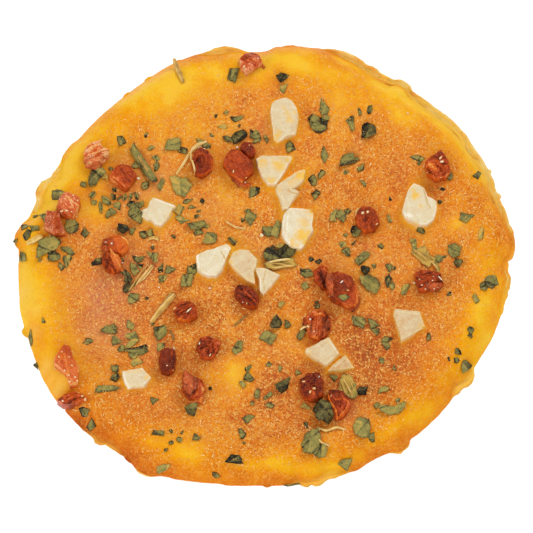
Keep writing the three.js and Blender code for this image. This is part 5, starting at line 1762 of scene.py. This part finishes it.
# %% Places of the crumbs
# Column, row, length and width in pixels, turn in degrees, tone
CRUMBS = groups("""
262,235,5,4,0,.8 159,287,2.4,2,0,.8 210,288,2.4,2,0,1 371,163,2.4,2,0,.6 408,113,2.4,2,0,.6
273,218,2.4,2,0,.7 148,177,4,2,30,.7 139,193,2.4,2,0,.7 244,67,5,1.6,60,.6 245,70,4,1.4,80,.5
254,55.2,4.4,1.6,-10,.5 258,59,2,1.5,0,.6 99,144,2.4,2,0,.6 94,145.5,2,2,0,.5 107,153.5,4,1.5,60,.7
88,147.5,2,1.6,0,.6 90,152,3,1.6,40,.5 93,157,3,1.5,80,.5 111,170,2.2,2,0,.5 138,178,4,2.2,-10,1
134,172,2,1.6,0,.9 62,212.6,4,1.6,10,.7 67,212,4,1.8,-10,.8 72,213,3,1.6,30,.6 76,214,3,2,0,.5
73.6,198.4,2,1.6,0,.6 78,202,2.4,1.4,50,.7 51,235.3,2,1.8,0,.8 199,147.5,6,2.4,20,.8 204,148.6,3,2,0,.7
237,147,3.4,2.6,30,1 225.7,160.5,2,2,0,.9 235.4,161,2,1.6,0,.3 233.4,172.2,5,1.4,90,.7
245,180.6,2.4,2,0,.7 246,177.3,2.4,1.6,0,.5 249.3,145.8,2.4,2,0,.4 251,150.2,2,1.4,0,.3
105.6,242,2.6,2.2,0,1 112,244.2,2.4,2,0,1 122,263,2.4,2,0,1 440.7,159,4.4,2.4,50,.6 442,163,4.4,3,0,.8
430.2,165.8,5,3,-20,0 427.8,175,3,2,30,.5 424,166.5,2,1.6,0,.6 441,180,2,2,0,.5 360.7,208,2.4,2,0,.7
362.5,214,4,3,40,.6 367.4,212.8,3.4,2.8,80,.7 376.5,226,3.2,2,45,.7 175.5,308.5,4.6,3,30,.3
189.2,310.5,8,1.9,42,.8 247.2,302.6,5,1.6,85,.5 243,302.6,1.8,1.5,0,.9 211.4,337.4,2.4,1.5,80,.9
199.7,343.8,3.6,1.6,60,.8 210.4,355.2,3.6,1.5,60,.7 198.3,353.5,5,2.4,10,.2 174.2,347.8,4.4,1.7,-50,.8
167.5,365.6,2,1.8,0,.8 173.5,370,2,1.6,0,.2 184.2,368.4,2.2,2,0,.6 184.2,384.8,4.2,3.6,0,.3
191.8,384,2,1.8,0,.9 60.4,358,2.2,2,0,.7 70.5,357.8,2,1.6,0,.7 73.2,366.2,2.2,1.8,0,.8
56.3,364.5,2,1.8,0,.6 69.8,376,2.6,2,0,.5 76.5,378,2,1.8,0,.8 71,382,2.8,1.8,20,.7 78.5,381.3,2,1.6,0,.8
66,371,2,1.6,0,.8 63,353,1.8,1.6,0,.6 63.8,400.5,2.2,2,0,.9 83.3,395.8,3,2.2,30,.6 86.2,399.2,4,2.6,80,.6
76.5,409.2,6,1.8,-15,.4 341.6,282.5,4.4,1.8,45,1 347.6,291.2,2.8,2,0,.3 329.5,298.6,2,1.6,0,.7
312.7,274.8,2.8,2,0,.4 310,319.8,2.4,2,0,1 313,329.5,2.2,2,0,.7 314,332,2,1.8,0,.7 331,316.4,2,1.6,0,.4
414,282.8,3.2,2.8,0,.7 432.3,277.7,3,1.5,30,.8 432,281.2,2,1.6,0,.8 439.7,278.8,6,1.6,-50,.8
421.5,285.8,2,1.8,0,.8 425,291,2.2,1.8,0,.8 433.6,290.5,2,1.6,0,.9 437,287.6,2,1.5,0,.6 419,280,2,1.5,0,.5
303.4,381.8,4,2.4,0,.5 318.4,377,2.6,2,40,1 310,392,4.6,2.4,60,.5 314,388.5,4,3.2,0,.4
340.5,414,2.2,1.8,0,.9 331,395.3,3.6,1.5,60,.4
""")

# %% Build the crumbs
CRUMB_STOPS = [(0.0, "#E58A38"), (0.35, "#EFB46C"), (0.7, "#F8D8A4"), (1.0, "#FFF2DC")]
# Dry crumb and seed: chalky and matt, with a little light sinking in
CRUMB_LOOK = {"Roughness": 0.6, "Subsurface Weight": 0.2, "Subsurface Scale": 0.6 * MM}
crumb_finish = tinted("pale_crumb", CRUMB_STOPS, 0.4, 0.15, 0.06, CRUMB_LOOK)
across, down, long, wide, turn, tone = np.array(CRUMBS).T
crumb_x, crumb_y = settled(across, down)
half_long, half_wide = long * PIXEL / 2, wide * PIXEL / 2
crumb_size = np.stack([half_long, half_wide, 0.8 * half_wide], axis=1)
centre = np.stack([crumb_x, crumb_y, cover_height(crumb_x, crumb_y) + 0.08], axis=1)
vertices, faces = stamp(dome, dome_faces, centre, crumb_size, np.radians(turn), 0.3, 31)
add_piece("pale_crumbs", vertices, faces, crumb_finish, "crust", tone=np.repeat(tone, len(dome)))
print("crumbs:", len(tone))

# %% [markdown]
# ## Floor and light
# The photograph is lit softly from all round on pure white. The floor is grey paper that gives off
# enough light of its own to show white, so shadows vanish on it and little of its light reaches the
# object. A large soft lamp at the back right shapes the toppings, and weaker ones at the left and in
# front keep their near sides open.

# %% Floor
# White paper: matt, giving off light of its own, and clear from below, so that the underside shows
floor_material, add = new_material("white_paper")
lit = add("BsdfPrincipled", {
    "Base Color": colour("#959595"), "Roughness": 0.9, "Specular IOR Level": 0.2,
    "Emission Color": colour("#FFFFFF"), "Emission Strength": 0.9,
})
from_below = add("NewGeometry", output="Backfacing")
add("OutputMaterial", [add("MixShader", [from_below, lit, add("BsdfTransparent")])])

FLOOR_HALF = 3000.0  # mm
FLOOR_BELOW = 0.05  # mm under the object, so that the two flat sides don't fall together
floor_mesh = bpy.data.meshes.new("floor")
floor_corners = np.array([(-1, -1), (1, -1), (1, 1), (-1, 1)]) * FLOOR_HALF
floor_corners = np.column_stack([floor_corners, np.full(4, -FLOOR_BELOW)]) * MM
floor_mesh.from_pydata(floor_corners.tolist(), [], [(0, 1, 2, 3)])
floor_mesh.materials.append(floor_material)
put_in("floor", floor_mesh)

print("floor, m:", 2 * FLOOR_HALF * MM)

# %% Lamps and sky
LAMP_WIDE = 420  # mm
SKY_STRENGTH = 0.47
# Name, place in mm, power in watts
LAMPS = [
    ("back_right_lamp", (260, 380, 520), 2.15),
    ("left_lamp", (-480, -140, 400), 1.25),
    ("front_lamp", (60, -520, 300), 0.9),
]
for name, spot, power in LAMPS:
    lamp_data = bpy.data.lights.new(name, "AREA")
    lamp_data.size = LAMP_WIDE * MM
    lamp_data.energy = power
    lamp = put_in(name, lamp_data)
    lamp.location = Vector(spot) * MM
    lamp.rotation_euler = (-lamp.location).to_track_quat("-Z", "Y").to_euler()

scene = bpy.context.scene
scene.world = bpy.data.worlds.new("soft_box")
scene.world.use_nodes = True
sky = scene.world.node_tree.nodes["Background"]
sky.inputs["Color"].default_value = colour("#FFFFFF")
sky.inputs["Strength"].default_value = SKY_STRENGTH
scene.view_settings.view_transform = "Standard"
print(len(LAMPS), "lamps")
